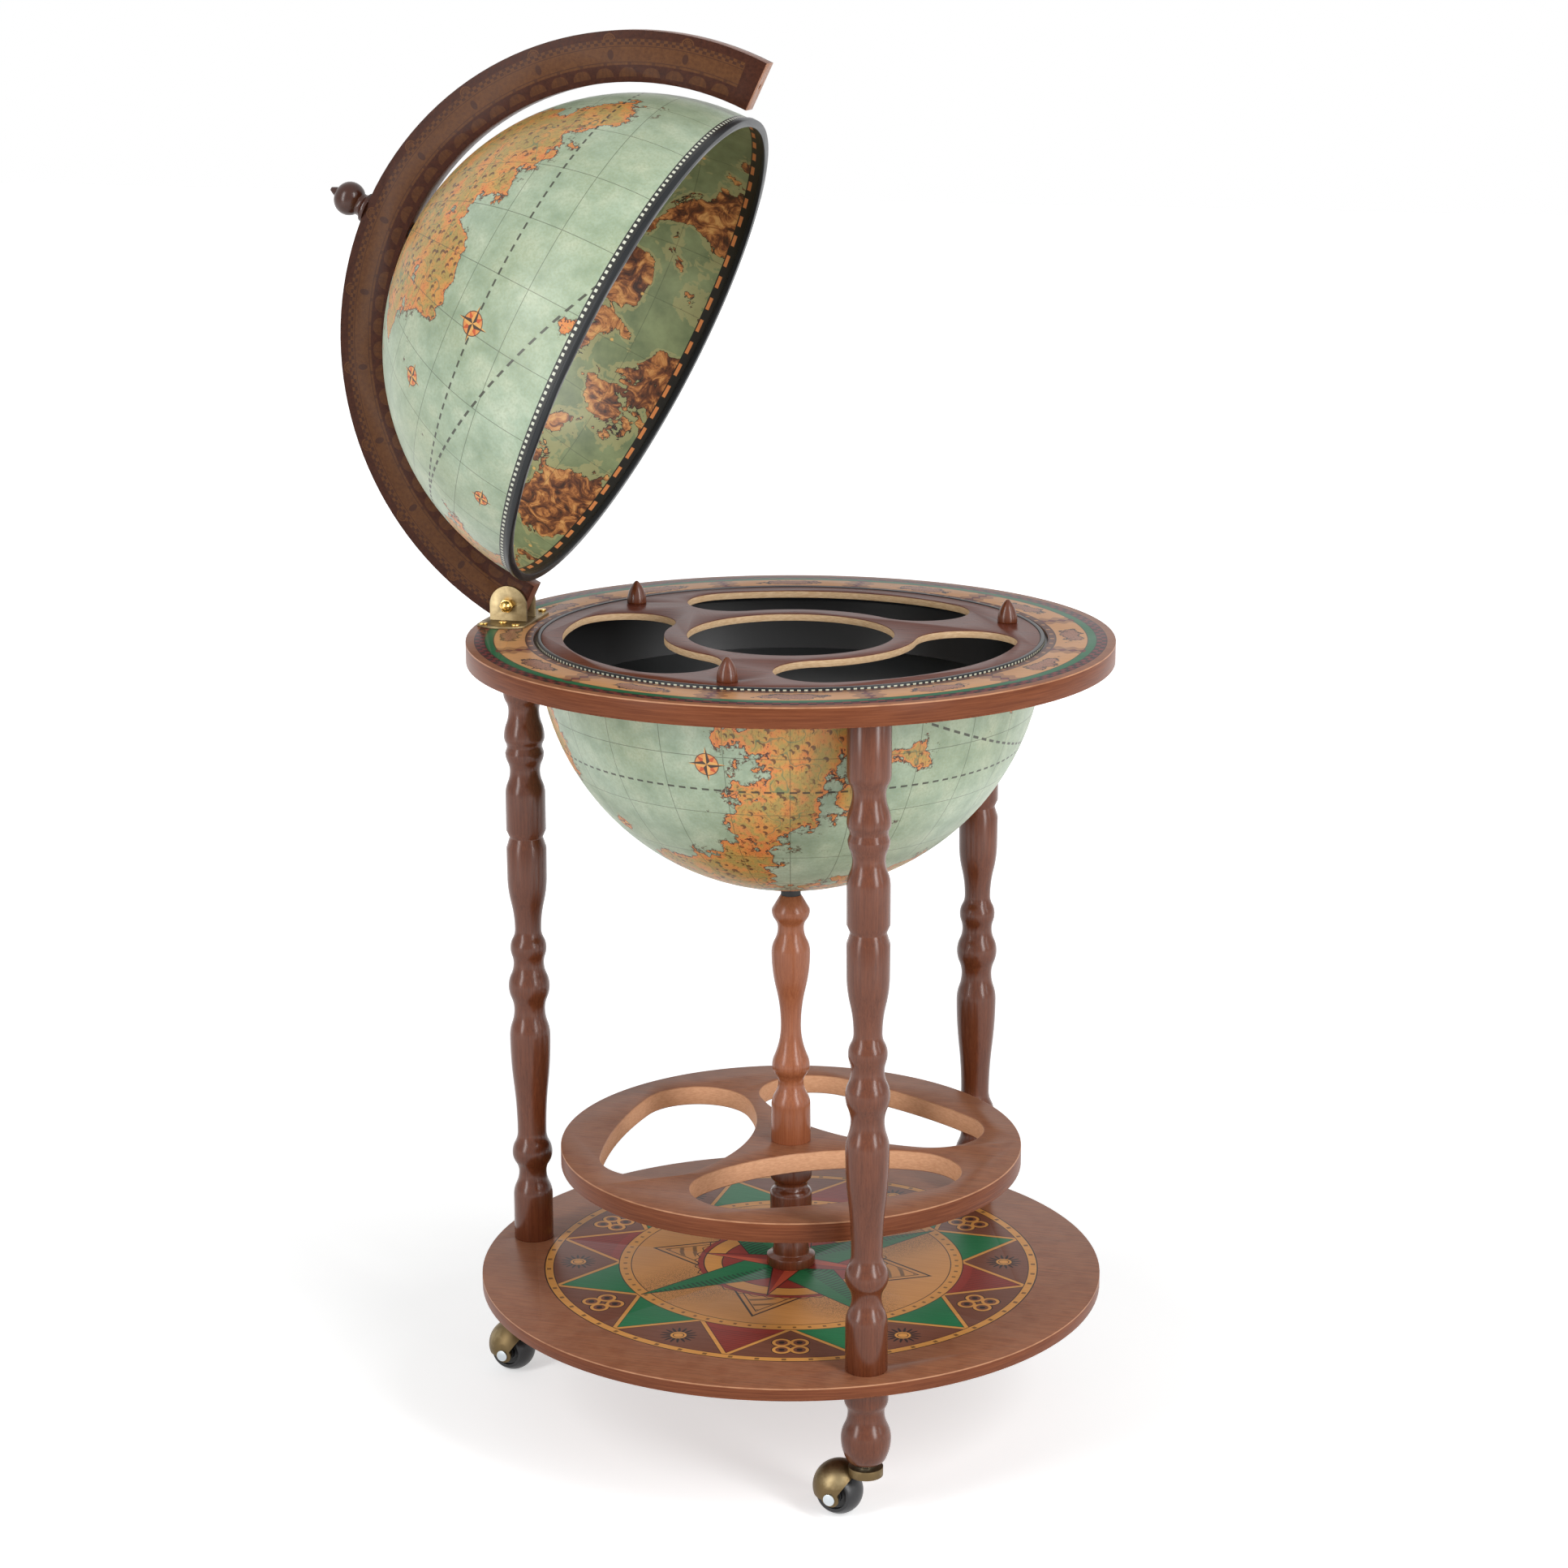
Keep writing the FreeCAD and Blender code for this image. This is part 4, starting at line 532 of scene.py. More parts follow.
# Latitude, longitude, size in degrees and height of each country
LANDS = (
    (62, -66, 38, 0.50), (44, -36, 22, 0.42), (24, -22, 15, 0.36), (40, -84, 12, 0.30),
    (12, -152, 18, 0.40), (-14, -74, 27, 0.48), (-36, -82, 17, 0.38), (-16, -150, 20, 0.44),
    (-58, -104, 24, 0.44), (-17, -46, 8, 0.34), (-64, -30, 24, 0.36), (44, 44, 44, 0.46),
    (8, 96, 30, 0.42), (58, 150, 32, 0.42), (-22, 26, 34, 0.46), (-18, 116, 32, 0.44),
    (-56, 140, 26, 0.40),
)
# Colours of the land and of the clouds in the lid, along their noise
GROUND = ((0.34, (226, 138, 74)), (0.45, (220, 160, 84)), (0.55, (178, 158, 88)), (0.68, (226, 150, 86)))
CLOUDS = ((0.36, (62, 38, 28)), (0.47, (120, 70, 44)), (0.56, (196, 128, 74)), (0.66, (232, 176, 108)))
SEA_LEVEL = 0.72
# Millimetres in a degree of the globe, and degrees between its lines
DEGREE_LENGTH = 3.49
GRID_STEP = 15
HILL_SIZE = 0.15
HILL_LIGHT = Vector((1.5, 0.9, 1.5))
DASHED_CIRCLE = Vector((0.36, 0.18, 0.915))


def outward(latitude, longitude):
    """The direction from the middle of the globe to a place on it."""
    up, round_ = latitude * DEGREE, longitude * DEGREE
    return Vector((math.cos(up) * math.cos(round_), math.cos(up) * math.sin(round_), math.sin(up)))


def sea_and_land(finish, mottle, speck):
    """The colours of an invented map, whose countries are highest in their middles."""
    sea = finish.ramp(mottle, (0.3, (148, 168, 144)), (0.5, (174, 192, 168)), (0.7, (196, 208, 184)))
    sea = finish.mix(speck.over(0.54, 0.25) * 0.4, sea, (150, 164, 128))

    lift = 0.0
    for latitude, longitude, size, height in LANDS:
        distance = finish.vector("DISTANCE", outward(latitude, longitude) * GLOBE_RADIUS)
        reach = 2 * GLOBE_RADIUS * math.sin(size * DEGREE / 2)
        lift = lift + (1 - distance / reach).clamped() * height
    ground = finish.noise(0.024, 6, 0.6) + lift - SEA_LEVEL
    hills = finish.cells(HILL_SIZE).under(0.36, 0.04)
    shadow = finish.cells(HILL_SIZE, HILL_LIGHT).under(0.36, 0.04)
    ranges = finish.noise(0.03, 3, 0.5).over(0.42, 0.06)
    strokes = finish.noise((0.7, 0.7, 0.16), 3, 0.7).over(0.585, 0.04)
    rivers = abs(finish.noise(0.03, 2, 0.5) - 0.5).under(0.006, 0.004) * ground.over(0.04, 0.02)
    land = finish.layers(
        finish.ramp(finish.noise(0.05, 5, 0.65), *GROUND),
        (hills * (1 - shadow) * ranges * 0.85, (88, 50, 32)),
        (strokes * 0.5, (122, 70, 42)),
        (ground.under(0.03, 0.03) * 0.75, (238, 138, 78)),
        (rivers * 0.6, (70, 122, 92)),
    )
    return finish.layers(
        sea,
        (ground.over(0, 0.006), land),
        (speck.over(0.5, 0.1) * ground.between(-0.026, 0.0, 0.008) * 0.65, (84, 70, 52)),
        (ground.near(0, 0.006, 0.004), (78, 42, 30)),
    )


def compass_rose(finish, chart, latitude, longitude, size):
    """A compass rose laid over the chart."""
    out = outward(latitude, longitude)
    east = Vector((-out.y, out.x, 0)).normalized()
    along, across, depth = (finish.vector("DOT_PRODUCT", axis) for axis in (east, out.cross(east), out))
    front = depth > 0.0
    reach = span(along, across)
    turn = heading(across, along)
    disc = size * 0.62
    long_star = star_edge(reach, turn, size, size * 0.26, 4)
    short_star = star_edge(reach, turn, size * 0.7, size * 0.24, 4, 45)
    return finish.layers(
        chart,
        (reach.under(disc, 0.4) * front, (232, 152, 86)),
        (short_star.under(0) * front, (204, 92, 52)),
        (long_star.under(0) * front, finish.mix(turn.wrapped(-45, 45) > 0.0, (62, 46, 36), (236, 176, 100))),
        (reach.near(disc, 0.35) * front, (84, 50, 38)),
    )


def lid_sky(finish, mottle, graticule, rim_height, longitude):
    """The inside of the lid: a green sky with stars, drifting clouds and a scale along the rim."""
    swirl = finish.noise(0.07, 5, 0.65, 1.4)
    cloud = finish.noise(0.016, 4, 0.55, 0.6) + swirl * 0.18
    return finish.layers(
        finish.ramp(mottle, (0.3, (114, 128, 92)), (0.7, (152, 164, 120))),
        (cloud.near(0.585, 0.022, 0.006) * 0.45, (196, 184, 128)),
        (cloud.over(0.612, 0.006), finish.ramp(swirl, *CLOUDS)),
        (cloud.near(0.612, 0.004, 0.003), (44, 32, 24)),
        (finish.cells(0.035).under(0.06, 0.02), (232, 188, 110)),
        (graticule * 0.4, (50, 52, 38)),
        (rim_height.under(10.4), (30, 28, 24)),
        (rim_height.between(6.4, 9.4) * beats(longitude, 60, -0.1, 0.2), (232, 146, 86)),
    )


def globe_finish(finish):
    """Globe: an old-fashioned invented map outside, stars inside the lid, black inside the tub."""
    is_dome = finish.split()[2] > DOME_BOTTOM
    halves = {0: is_dome, 4: finish.turned(0.0, GLOBE_CENTRE), 5: finish.turned(LID_ANGLE, DOME_CENTRE)}
    finish.place = finish.node("Mix", {"data_type": "VECTOR"}, halves, 1)
    x, y, z = finish.split()
    outside = finish.vector("LENGTH").over(GLOBE_RADIUS - 1.5)
    flat = span(x, y)
    latitude = heading(z, flat)
    longitude = heading(y, x)
    rim_height = abs(z)
    mottle = finish.noise(0.045, 5, 0.6)
    speck = finish.noise(0.5, 3, 0.6)

    # The map with its grid of lines and its dashed circles
    parallel = abs(latitude.wrapped(-GRID_STEP / 2, GRID_STEP / 2)) * DEGREE_LENGTH
    meridian = abs(longitude.wrapped(-GRID_STEP / 2, GRID_STEP / 2)) * (flat * DEGREE)
    graticule = parallel.least(meridian).under(0.32, 0.25)
    circles = abs(abs(latitude) - 23.5).least(abs(abs(latitude) - 66.5)) * DEGREE_LENGTH
    loop = abs(finish.vector("DOT_PRODUCT", DASHED_CIRCLE))
    dashes = (46, 40, 30)
    chart = finish.layers(
        sea_and_land(finish, mottle, speck),
        (graticule * 0.62, (70, 74, 60)),
        (circles.under(0.9) * beats(longitude, 120, -0.3, 0.3) * 0.9, dashes),
        (loop.under(1.0) * beats(longitude, 110, -0.3, 0.3) * 0.9, dashes),
    )
    for rose in ROSES:
        chart = compass_rose(finish, chart, *rose)
    aged = finish.noise(0.012, 3, 0.5)
    chart = finish.mix(aged.over(0.5) * 0.4, chart, (210, 204, 170), "MULTIPLY")

    # The black and white scale along the rim of each half
    chart = finish.layers(
        chart,
        (rim_height.under(7.6), (34, 34, 32)),
        (rim_height.between(4.4, 6.6) * beats(longitude, 240, 0, 0.2), (216, 218, 200)),
    )
    sky = lid_sky(finish, mottle, graticule, rim_height, longitude)
    inside = finish.mix(is_dome, (30, 30, 31), sky)
    return finish.surface(finish.mix(outside, inside, chart), 0.34 + 0.08 * speck, speck, 0.00004)


# Rack, metal, rubber and plastic


def rack_finish(finish):
    """Rack: red-brown laminate on top, pale board in the cut edges."""
    z = finish.split()[2]
    grain = finish.noise((30, 500, 30), 4, 0.6, 0.2)
    brown = finish.ramp(grain, (0.3, (86, 40, 29)), (0.7, (118, 64, 47)))
    board = finish.noise((200, 200, 1200), 3)
    raw = finish.ramp(board, (0.35, (216, 178, 136)), (0.7, (240, 208, 168)))
    wall = z.under(board_heights("glass_rack")[1] - 0.0006, FACE_SOFT)
    roughness = 0.24 + 0.1 * grain + wall * 0.35
    return finish.surface(finish.mix(wall, brown, raw), roughness, grain, 0.00008, 0.06)


def dull_finish(finish, tint, roughness, scale, depth, polish=0.5, scale_marks=False):
    """Rubber or plastic with a fine uneven skin, and on the globe's rim a printed scale of pale marks."""
    skin = finish.noise(scale, 3, 0.6)
    cloud = finish.noise(30.0, 2, 0.5)
    shade = finish.mix(cloud * 0.6, tint, tuple(part + 18 for part in tint))
    if scale_marks:
        x, y, z = finish.split()
        wall = span(x, y).near(RIM_OUTSIDE * MM, 0.0004, 0.0001)
        marks = wall * z.between(0.6511, 0.6529, 0.0002) * beats(heading(y, x), 240, 0, 0.2)
        shade = finish.mix(marks, shade, (216, 214, 190))
    return finish.surface(shade, roughness + 0.12 * skin, skin, depth, polish)


def metal_finish(finish, pale, dark, roughness, patina_and_shade):
    """Metal with fine scratches and patina in clouds, darker towards the floor: there partly patina, partly painted
    shade under the base board.
    """
    cloud = finish.noise(42.0, 4, 0.6)
    scratch = finish.noise(800.0, 3, 0.7)
    # Painted shade: metal below 0.1 m, under the base board, is darkened; aged mixes this painted shade with the
    # patina
    low = finish.split()[2].under(0.1, 0.05)
    aged = (cloud.over(0.52, 0.35) + low * 0.55).clamped() * patina_and_shade
    shade = finish.mix(aged, pale, dark)
    return finish.surface(shade, roughness + 0.2 * cloud * patina_and_shade + 0.08 * scratch, scratch, 0.00003, metallic=1.0)


# What makes each finish, and with which look
FINISHES = {
    "veneer": (veneer_finish,),
    "printed_veneer_base": (printed_base_finish,),
    "printed_veneer_ring": (printed_ring_finish,),
    "printed_veneer_arch": (printed_arch_finish,),
    "globe_print": (globe_finish,),
    "rack_board": (rack_finish,),
    "turned_wood": (turned_wood_finish, (128, 70, 43), (70, 32, 18), 0.2, 0.42),
    "column_wood": (turned_wood_finish, (178, 110, 74), (126, 68, 42), 0.22, 0.4),
    "rim_black": (dull_finish, (34, 36, 38), 0.26, 900.0, 0.00002, 0.2, True),
    "black_rubber": (dull_finish, (26, 25, 25), 0.6, 1400.0, 0.00006),
    "wheel_plastic": (dull_finish, (28, 28, 30), 0.3, 700.0, 0.00003),
    "antique_brass": (metal_finish, (176, 158, 120), (92, 74, 48), 0.34, 0.85),
    "polished_brass": (metal_finish, (238, 202, 122), (176, 134, 76), 0.14, 0.4),
    "zinc_steel": (metal_finish, (222, 230, 234), (176, 182, 186), 0.2, 0.4),
}


@cache
def finish_for(slot):
    """The finish of a material slot, made once."""
    make, *look = FINISHES[slot]
    return make(Finish(slot), *look)


def slot_of(node):
    """The material slot that the record gives a node."""
    return next(part["material_slot"] for part in frame["record"]["subparts"] if part["node"] == node)


def dress(piece, slot):
    """Gives a piece the finish of its slot."""
    if not piece.material_slots:
        piece.data.materials.append(None)
    for place in piece.material_slots:
        place.material = finish_for(slot)


# Shaping a piece


SHARP_ANGLE = 32 * DEGREE
FLAT_ANGLE = 0.05 * DEGREE
TURNED_WELD = 0.000002
NODE_WELD = 0.000004
ARC_STEPS = 7
LARGE_STEPS = 288
TURNED_STEPS = 72
SMALL_STEPS = 48


def deselect():
    for piece in bpy.context.selected_objects:
        piece.select_set(False)


def pick(piece):
    """Selects one piece alone."""
    deselect()
    piece.select_set(True)
    bpy.context.view_layer.objects.active = piece


def arc(start, length, end, way):
    """Points of (radius, height) along one section of a turning, from a start point, without the start itself."""
    radius, height = start
    change = end - radius
    if way == "line" or change == 0:
        return [(end, height + length)]
    if way == "ogee":
        middle = radius + change / 2
        return arc(start, length / 2, middle, "fall") + arc((middle, height + length / 2), length / 2, end, "rise")
    bow = 2 * math.atan2(abs(change), length)
    reach = length / math.sin(bow)
    points = []
    for step in range(1, ARC_STEPS + 1):
        turn = bow * step / ARC_STEPS
        if way == "fall":
            along, across = reach * math.sin(turn), reach * (1 - math.cos(turn))
            points.append((radius + math.copysign(across, change), height + along))
        else:
            along, across = reach * math.sin(bow - turn), reach * (1 - math.cos(bow - turn))
            points.append((end - math.copysign(across, change), height + length - along))
    return points


def turned_outline(start, sections):
    """The closed outline of a turning, from its axis at the bottom to its axis at the top."""
    points = [(0, 0), (start, 0)]
    for way, length, end in sections:
        points += arc(points[-1], length, end, way)
    return points + [(0, points[-1][1])]


def spun(name, outline, place, edge, steps=TURNED_STEPS):
    """Turns an outline in millimetres round an upright axis that stands at a place, and rounds its hard edges."""
    deselect()
    bpy.ops.mesh.primitive_plane_add(size=0.01, location=place)
    piece = bpy.context.object
    piece.name = name
    bpy.ops.object.transform_apply()
    bpy.ops.object.mode_set(mode="EDIT")
    bpy.ops.mesh.select_all(action="SELECT")
    bpy.ops.mesh.merge(type="CENTER")
    bpy.ops.transform.translate(value=(outline[0][0] * MM, 0, outline[0][1] * MM))
    for (radius, height), (next_radius, next_height) in zip(outline, outline[1:]):
        step = ((next_radius - radius) * MM, 0, (next_height - height) * MM)
        bpy.ops.mesh.extrude_vertices_move(TRANSFORM_OT_translate={"value": step})
    bpy.ops.mesh.select_all(action="SELECT")
    bpy.ops.mesh.spin(steps=steps, angle=math.tau, center=place, axis=(0, 0, 1))
    bpy.ops.mesh.select_all(action="SELECT")
    bpy.ops.mesh.remove_doubles(threshold=TURNED_WELD)
    bpy.ops.mesh.normals_make_consistent(inside=False)
    bpy.ops.object.mode_set(mode="OBJECT")
    return rounded(piece, edge)


def rounded(piece, edge):
    """Rounds the sharp edges of a piece and smooths its shading."""
    pick(piece)
    bevel = piece.modifiers.new("edge", "BEVEL")
    bevel.width = edge
    bevel.segments = 2
    bevel.limit_method = "ANGLE"
    bevel.angle_limit = SHARP_ANGLE
    bpy.ops.object.modifier_apply(modifier=bevel.name)
    bpy.ops.object.shade_smooth_by_angle(angle=SHARP_ANGLE)
    return piece


def eased(node, edge):
    """A copy of a node with rounded edges, in place of the node."""
    piece = bpy.data.objects.new(node + "_eased", frame["nodes"][node].data.copy())
    bpy.context.collection.objects.link(piece)
    pick(piece)
    bpy.ops.object.mode_set(mode="EDIT")
    bpy.ops.mesh.select_all(action="SELECT")
    bpy.ops.mesh.remove_doubles(threshold=NODE_WELD)
    bpy.ops.mesh.dissolve_limited(angle_limit=FLAT_ANGLE)
    bpy.ops.object.mode_set(mode="OBJECT")
    return settled(rounded(piece, edge), node)


def settled(piece, node):
    """Gives a finished piece the body and the finish of the node it stands for."""
    slot = slot_of(node)
    dress(piece, slot)
    body = next(body for body, nodes in frame["record"]["behaviour"]["bodies"].items() if node in nodes)
    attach(piece, body)
    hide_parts(node)
    return piece


def copied(piece, name, shift):
    """A copy of a piece with its own mesh, moved by a shift."""
    pick(piece)
    bpy.ops.object.duplicate()
    copy = bpy.context.object
    copy.name = name
    copy.location = shift
    bpy.ops.object.transform_apply()
    return copy


def foot_of(node):
    """The middle of a node's underside."""
    low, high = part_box(node)
    return Vector(((low[0] + high[0]) / 2, (low[1] + high[1]) / 2, low[2]))


# Turned pieces: the start radius, then each section's way, length and end radius in millimetres


LEG = (
    16.3,
    (
        ("line", 38, 16.3), ("ogee", 20.7, 11.5), ("ogee", 16.9, 16.7), ("ogee", 18.4, 12.0), ("ogee", 84, 16.8),
        ("ogee", 23, 12.8), ("ogee", 20.5, 17.0), ("ogee", 19.5, 12.6), ("ogee", 13.5, 14.9), ("ogee", 15.5, 10.9),
        ("ogee", 46, 16.3), ("line", 24, 16.5), ("line", 8.7, 13.7), ("line", 6.3, 16.4), ("line", 30, 16.4),
        ("ogee", 19.5, 12.4), ("ogee", 15.5, 15.9), ("line", 4.5, 14.4), ("ogee", 8.5, 16.6), ("ogee", 22, 12.6),
        ("ogee", 15, 16.6), ("line", 42.6, 16.6),
    ),
)
FOOT = (
    13.5,
    (
        ("line", 2.5, 15.4), ("rise", 16.9, 19.4), ("ogee", 21.6, 14.2), ("ogee", 11, 17.2), ("line", 13.6, 17.0),
    ),
)
LOWER_COLUMN = (
    20.0,
    (
        ("line", 8, 20), ("line", 1.5, 15), ("ogee", 20, 13), ("ogee", 19.5, 17.2), ("line", 12, 17.2),
        ("ogee", 9, 13.5), ("ogee", 7, 17.1), ("line", 14.1, 17.1),
    ),
)
UPPER_COLUMN = (
    16.3,
    (
        ("line", 30.6, 15.9), ("ogee", 19.4, 10.4), ("ogee", 14.6, 15.4), ("fall", 8, 13.6), ("rise", 26, 8.25),
        ("ogee", 62, 15.75), ("ogee", 20.5, 10.6), ("ogee", 14.4, 15.5), ("line", 1.6, 15.3), ("line", 11.6, 8.4),
    ),
)
FINIAL = (
    12.0,
    (
        ("line", 3, 12), ("rise", 4, 9), ("line", 1.5, 9), ("rise", 9.5, 13.5), ("fall", 11.5, 4),
        ("line", 1.5, 3.6), ("line", 4, 1.6),
    ),
)
PEG = (8.0, (("line", 1.5, 8), ("fall", 17, 1.0)))

# The closed outline of the tub's rim, as radius and height in millimetres
RIM = (
    (203, 643.4), (203, 650.4), (RIM_OUTSIDE, 650.4), (RIM_OUTSIDE, 653.9), (197, 653.9),
    (197, 647.4), (190, 647.4), (190, 643.4), (203, 643.4),
)
RACK_OVERHANG = 0.0033

HINGE_NODES = (
    "hinge_bracket", "hinge_bolt", "hinge_nut", "bracket_screws", "pole_nut", "pole_spacer", "globe_seat",
)
CASTER_PARTS = ("stem", "hood", "axle", "wheel")
SIDES = ("left", "front", "back")


def edges():
    return bpy.context.scene.globe_bar_edges


class EdgeSettings(bpy.types.PropertyGroup):
    """How far the edges of the pieces are rounded."""

    board: bpy.props.FloatProperty(
        name="Board Edge", description="Rounding of the edges of the boards", default=0.0008, unit="LENGTH"
    )
    rim: bpy.props.FloatProperty(
        name="Rim Edge", description="Rounding of the black rims of the globe", default=0.0006, unit="LENGTH"
    )
    turned: bpy.props.FloatProperty(
        name="Turned Edge", description="Rounding of the hard edges of the turnings", default=0.0005, unit="LENGTH"
    )
    fine: bpy.props.FloatProperty(
        name="Fine Edge", description="Rounding of the finial and the metal", default=0.0003, unit="LENGTH"
    )


class GLOBEBAR_OT_boards(bpy.types.Operator):
    """Rounds the edges of the base, the shelf, the horizon ring and the rack, and widens the rack"""

    bl_idname = "globebar.boards"
    bl_label = "Boards"

    def execute(self, context):
        for node in ("base_shelf", "bottle_shelf", "horizon_ring"):
            eased(node, edges().board)
        rack = eased("glass_rack", edges().board)
        pick(rack)
        bpy.ops.object.mode_set(mode="EDIT")
        bpy.ops.mesh.select_all(action="DESELECT")
        bpy.ops.object.mode_set(mode="OBJECT")
        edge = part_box("glass_rack")[1][0] - 2 * edges().board
        for point in rack.data.vertices:
            point.select = point.co.xy.length > edge
        bpy.ops.object.mode_set(mode="EDIT")
        wider = (edge + RACK_OVERHANG) / edge
        bpy.ops.transform.resize(value=(wider, wider, 1), center_override=(0, 0, 0))
        bpy.ops.object.mode_set(mode="OBJECT")
        return {"FINISHED"}


class GLOBEBAR_OT_legs(bpy.types.Operator):
    """Turns the three legs and the three feet under them"""

    bl_idname = "globebar.legs"
    bl_label = "Legs and Feet"

    def execute(self, context):
        for kind, sections in (("leg", LEG), ("foot", FOOT)):
            first = foot_of(kind + "_left")
            turning = spun(kind + "_left_turned", turned_outline(*sections), first, edges().turned)
            for side in SIDES[1:]:
                node = kind + "_" + side
                settled(copied(turning, node + "_turned", foot_of(node) - first), node)
            settled(turning, kind + "_left")
        return {"FINISHED"}


class GLOBEBAR_OT_columns(bpy.types.Operator):
    """Turns the two halves of the middle column"""

    bl_idname = "globebar.columns"
    bl_label = "Columns"

    def execute(self, context):
        for node, sections in (("lower_column", LOWER_COLUMN), ("upper_column", UPPER_COLUMN)):
            settled(spun(node + "_turned", turned_outline(*sections), foot_of(node), edges().turned), node)
        return {"FINISHED"}


class GLOBEBAR_OT_pegs(bpy.types.Operator):
    """Turns the three bullet-shaped pegs of the rack"""

    bl_idname = "globebar.pegs"
    bl_label = "Pegs"

    def execute(self, context):
        rack_top = board_heights("glass_rack")[1]
        places = {side: Vector((*foot_of("peg_" + side).xy, rack_top)) for side in ("left", "right", "front")}
        peg = spun("peg_left_turned", turned_outline(*PEG), places["left"], edges().turned, SMALL_STEPS)
        for side in ("right", "front"):
            settled(copied(peg, "peg_" + side + "_turned", places[side] - places["left"]), "peg_" + side)
        settled(peg, "peg_left")
        return {"FINISHED"}


class GLOBEBAR_OT_arch(bpy.types.Operator):
    """Rounds the edges of the meridian arch and turns the finial on it"""

    bl_idname = "globebar.arch"
    bl_label = "Arch and Finial"

    def execute(self, context):
        eased("meridian_arch", edges().board)
        finial = spun("finial_turned", turned_outline(*FINIAL), (0, 0, ARCH_OUTSIDE), edges().fine, SMALL_STEPS)
        finial.rotation_euler = (0, -LID_ANGLE, 0)
        finial.location = DOME_CENTRE
        pick(finial)
        bpy.ops.object.transform_apply()
        settled(finial, "finial")
        return {"FINISHED"}


class GLOBEBAR_OT_metal(bpy.types.Operator):
    """Rounds the edges of the hinge with its bolt and screws, of the globe's seat and of the casters"""

    bl_idname = "globebar.metal"
    bl_label = "Hinge and Casters"

    def execute(self, context):
        caster_nodes = ["caster_" + part + "_" + side for part in CASTER_PARTS for side in SIDES]
        for node in (*HINGE_NODES, *caster_nodes):
            eased(node, edges().fine)
        return {"FINISHED"}


class GLOBEBAR_OT_globe(bpy.types.Operator):
    """Rounds the black rim of the dome and turns the stepped rim of the tub"""

    bl_idname = "globebar.globe"
    bl_label = "Rims of the Globe"

    def execute(self, context):
        eased("dome_rim", edges().rim)
        settled(spun("hemisphere_rim_turned", RIM, (0, 0, 0), edges().rim, LARGE_STEPS), "hemisphere_rim")
        return {"FINISHED"}


class GLOBEBAR_OT_finishes(bpy.types.Operator):
    """Gives every node that still shows its finish"""

    bl_idname = "globebar.finishes"
    bl_label = "Finishes"

    def execute(self, context):
        for node, piece in frame["nodes"].items():
            dress(piece, slot_of(node))
        return {"FINISHED"}


# Camera, light and floor


FLOOR_SIZE = 24
SENSOR_WIDTH = 36
# Name, setting of its power, place, width and height of each lamp
LAMPS = (
    ("key_lamp", "key", (-1.5, -2.3, 1.7), 0.66, 2.8),
    ("front_lamp", "front", (2.3, -1.5, 1.7), 0.66, 2.8),
    ("side_lamp", "side", (2.6, -0.1, 1.7), 0.4, 2.6),
)
LAMP_TARGET = Vector((0, 0, 0.6))


def studio():
    return bpy.context.scene.globe_bar_studio


class StudioSettings(bpy.types.PropertyGroup):
    """How the globe bar is photographed."""

    distance: bpy.props.FloatProperty(
        name="Distance", description="Level distance from the column to the camera", default=2.6836, unit="LENGTH"
    )
    height: bpy.props.FloatProperty(
        name="Height", description="Height of the camera over the floor", default=1.2067, unit="LENGTH"
    )
    heading: bpy.props.FloatProperty(
        name="Heading",
        description="How far round from the front the camera stands",
        default=math.radians(15.13),
        subtype="ANGLE",
    )
    look_aside: bpy.props.FloatProperty(
        name="Look Aside",
        description="Turn of the view from the column",
        default=math.radians(0.115),
        subtype="ANGLE",
    )
    tilt: bpy.props.FloatProperty(
        name="Tilt", description="How far the camera looks down", default=math.radians(14.13), subtype="ANGLE"
    )
    roll: bpy.props.FloatProperty(
        name="Roll", description="Turn of the picture", default=math.radians(-0.063), subtype="ANGLE"
    )
    lens: bpy.props.FloatProperty(name="Lens", description="Focal length", default=79.55, unit="CAMERA")
    floor_colour: bpy.props.FloatVectorProperty(
        name="Floor Colour", description="Colour of the floor", default=(0.86, 0.865, 0.867), subtype="COLOR"
    )
    floor_glow: bpy.props.FloatProperty(
        name="Floor Glow", description="How much paler than lit the camera sees the floor", default=0.5
    )
    backdrop: bpy.props.FloatProperty(
        name="Backdrop Light", description="Brightness of what the camera sees behind", default=1.0
    )
    fill: bpy.props.FloatProperty(name="Fill Light", description="Brightness of the light all round", default=0.27)
    key: bpy.props.FloatProperty(
        name="Key Light", description="Power of the strip lamp left of the camera", default=46.0, unit="POWER"
    )
    front: bpy.props.FloatProperty(
        name="Front Light", description="Power of the strip lamp right of the camera", default=58.0, unit="POWER"
    )
    side: bpy.props.FloatProperty(
        name="Side Light", description="Power of the strip lamp at the right side", default=10.0, unit="POWER"
    )


def add_floor(settings):
    """A pale floor that the camera and mirrors see a little brighter than it is lit."""
    bpy.ops.mesh.primitive_grid_add(x_subdivisions=4, y_subdivisions=4, size=FLOOR_SIZE, location=(0, 0, 0))
    floor = bpy.context.object
    floor.name = "studio_floor"
    finish = Finish("studio_floor")
    grain = finish.noise(3.0, 3)
    tint = finish.mix(grain * 0.06, (*settings.floor_colour, 1), (0.8, 0.8, 0.8, 1))
    finish.surface(tint, 0.75, grain, 0.0001, 0.15)
    seen = finish.node("LightPath", output="Is Camera Ray")
    mirrored = finish.node("LightPath", output="Is Glossy Ray")
    x, y = finish.split()[:2]
    strength = settings.floor_glow + span(x, y).over(1.15, 1.5) * 0.5
    glow = finish.node("Emission", inputs={"Color": (1, 1, 1, 1), "Strength": seen.most(mirrored) * strength})
    both = finish.node("AddShader", inputs={0: Value(finish, finish.shader.outputs[0]), 1: glow})
    finish.plug(finish.tree.nodes["Material Output"].inputs["Surface"], both)
    floor.data.materials.append(finish.material)


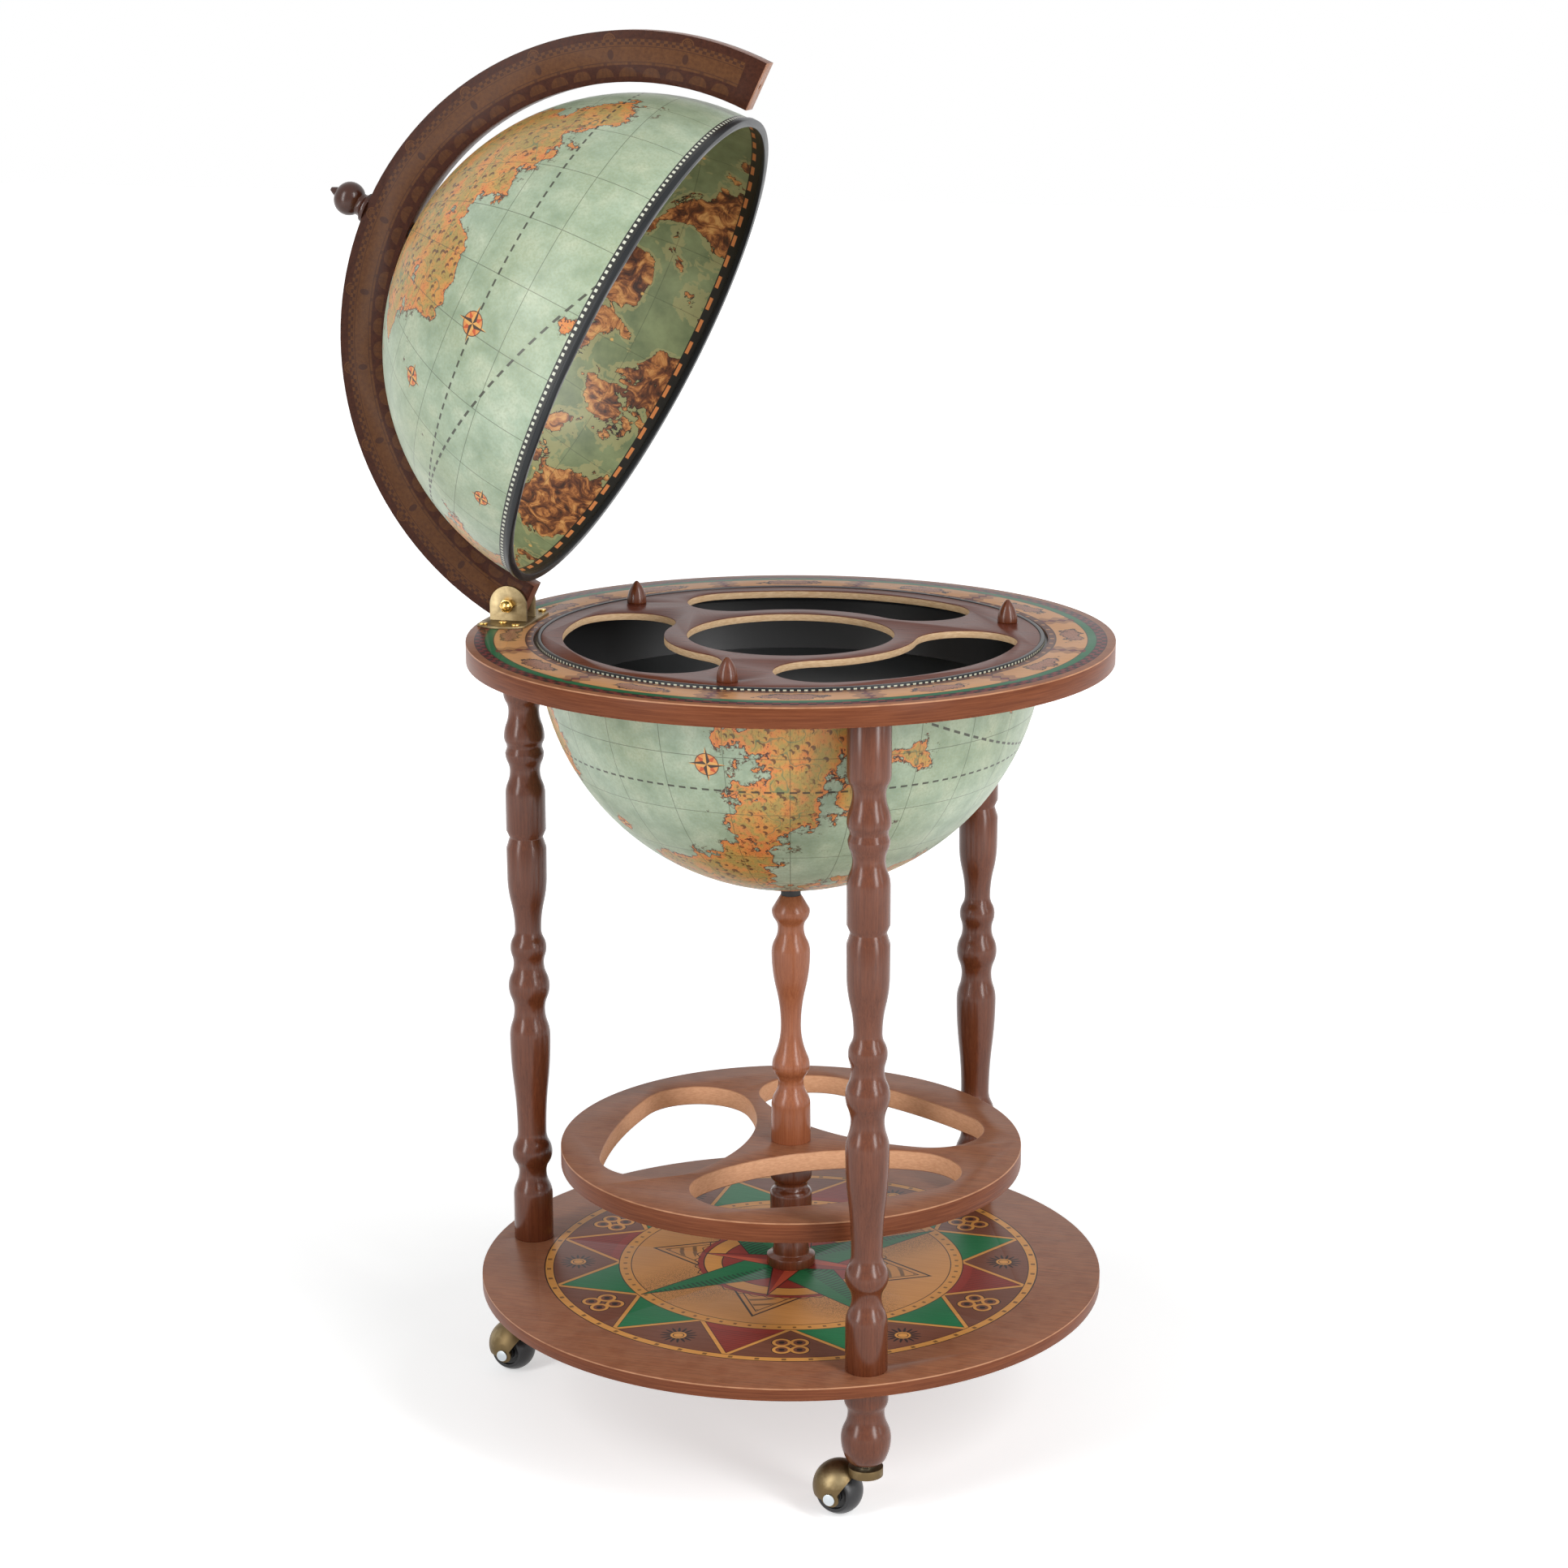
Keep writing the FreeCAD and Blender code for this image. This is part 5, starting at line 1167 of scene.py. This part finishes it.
def add_world(settings):
    """Light from all round: the fill on the object, the backdrop where the camera, mirrors and glass look."""
    world = bpy.data.worlds.new("studio_light")
    world.use_nodes = True
    bpy.context.scene.world = world
    world.node_tree.nodes.clear()
    nodes = Nodes(world.node_tree)
    kinds = ("Is Camera Ray", "Is Glossy Ray", "Is Transmission Ray")
    direct, mirrored, through = (nodes.node("LightPath", output=kind) for kind in kinds)
    reach = {"Value": direct.most(mirrored).most(through), "To Min": settings.fill, "To Max": settings.backdrop}
    strength = nodes.node("MapRange", inputs=reach)
    light = nodes.node("Background", inputs={"Color": (1, 1, 1, 1), "Strength": strength})
    nodes.node("OutputWorld", inputs={"Surface": light}, output=None)


def add_lamp(name, place, power, width, height):
    """A rectangular soft lamp that points at the middle of the globe bar."""
    data = bpy.data.lights.new(name, "AREA")
    data.shape = "RECTANGLE"
    data.size = width
    data.size_y = height
    data.energy = power
    lamp = bpy.data.objects.new(name, data)
    bpy.context.collection.objects.link(lamp)
    lamp.location = place
    lamp.rotation_euler = (LAMP_TARGET - Vector(place)).to_track_quat("-Z", "Y").to_euler()


def add_camera(settings):
    """The camera, at the photograph's viewing angle."""
    data = bpy.data.cameras.new("camera")
    data.lens = settings.lens
    data.sensor_width = SENSOR_WIDTH
    camera = bpy.data.objects.new("camera", data)
    bpy.context.collection.objects.link(camera)
    turn = (
        Matrix.Rotation(settings.heading + settings.look_aside, 4, "Z")
        @ Matrix.Rotation(math.pi / 2 - settings.tilt, 4, "X")
        @ Matrix.Rotation(settings.roll, 4, "Z")
    )
    aside = settings.distance * math.sin(settings.heading)
    ahead = -settings.distance * math.cos(settings.heading)
    camera.matrix_world = Matrix.Translation((aside, ahead, settings.height)) @ turn
    bpy.context.scene.camera = camera


class GLOBEBAR_OT_studio(bpy.types.Operator):
    """Builds the floor, the soft lights and the camera"""

    bl_idname = "globebar.studio"
    bl_label = "Studio"

    def execute(self, context):
        settings = studio()
        deselect()
        add_floor(settings)
        add_world(settings)
        for name, power, place, width, height in LAMPS:
            add_lamp(name, place, getattr(settings, power), width, height)
        add_camera(settings)
        bpy.context.scene.view_settings.view_transform = "Standard"
        return {"FINISHED"}


class GLOBEBAR_PT_panel(bpy.types.Panel):
    """Lists the steps that build the looks of the globe bar"""

    bl_idname = "GLOBEBAR_PT_panel"
    bl_label = "Globe Bar"
    bl_space_type = "VIEW_3D"
    bl_region_type = "UI"
    bl_category = "Globe Bar"

    def draw(self, context):
        for settings in (studio(), edges()):
            for name in settings.bl_rna.properties.keys():
                if name not in ("rna_type", "name"):
                    self.layout.prop(settings, name)
        for step in OPERATORS:
            self.layout.operator(step.bl_idname)


OPERATORS = (
    GLOBEBAR_OT_studio,
    GLOBEBAR_OT_boards,
    GLOBEBAR_OT_legs,
    GLOBEBAR_OT_columns,
    GLOBEBAR_OT_pegs,
    GLOBEBAR_OT_arch,
    GLOBEBAR_OT_metal,
    GLOBEBAR_OT_globe,
    GLOBEBAR_OT_finishes,
)
CLASSES = (StudioSettings, EdgeSettings, *OPERATORS, GLOBEBAR_PT_panel)


def register():
    for part in CLASSES:
        bpy.utils.register_class(part)
    bpy.types.Scene.globe_bar_studio = bpy.props.PointerProperty(type=StudioSettings)
    bpy.types.Scene.globe_bar_edges = bpy.props.PointerProperty(type=EdgeSettings)


def unregister():
    del bpy.types.Scene.globe_bar_edges
    del bpy.types.Scene.globe_bar_studio
    for part in reversed(CLASSES):
        bpy.utils.unregister_class(part)


def main():
    register()
    for step in OPERATORS:
        group, name = step.bl_idname.split(".")
        getattr(getattr(bpy.ops, group), name)()


if __name__ == "__main__":
    main()
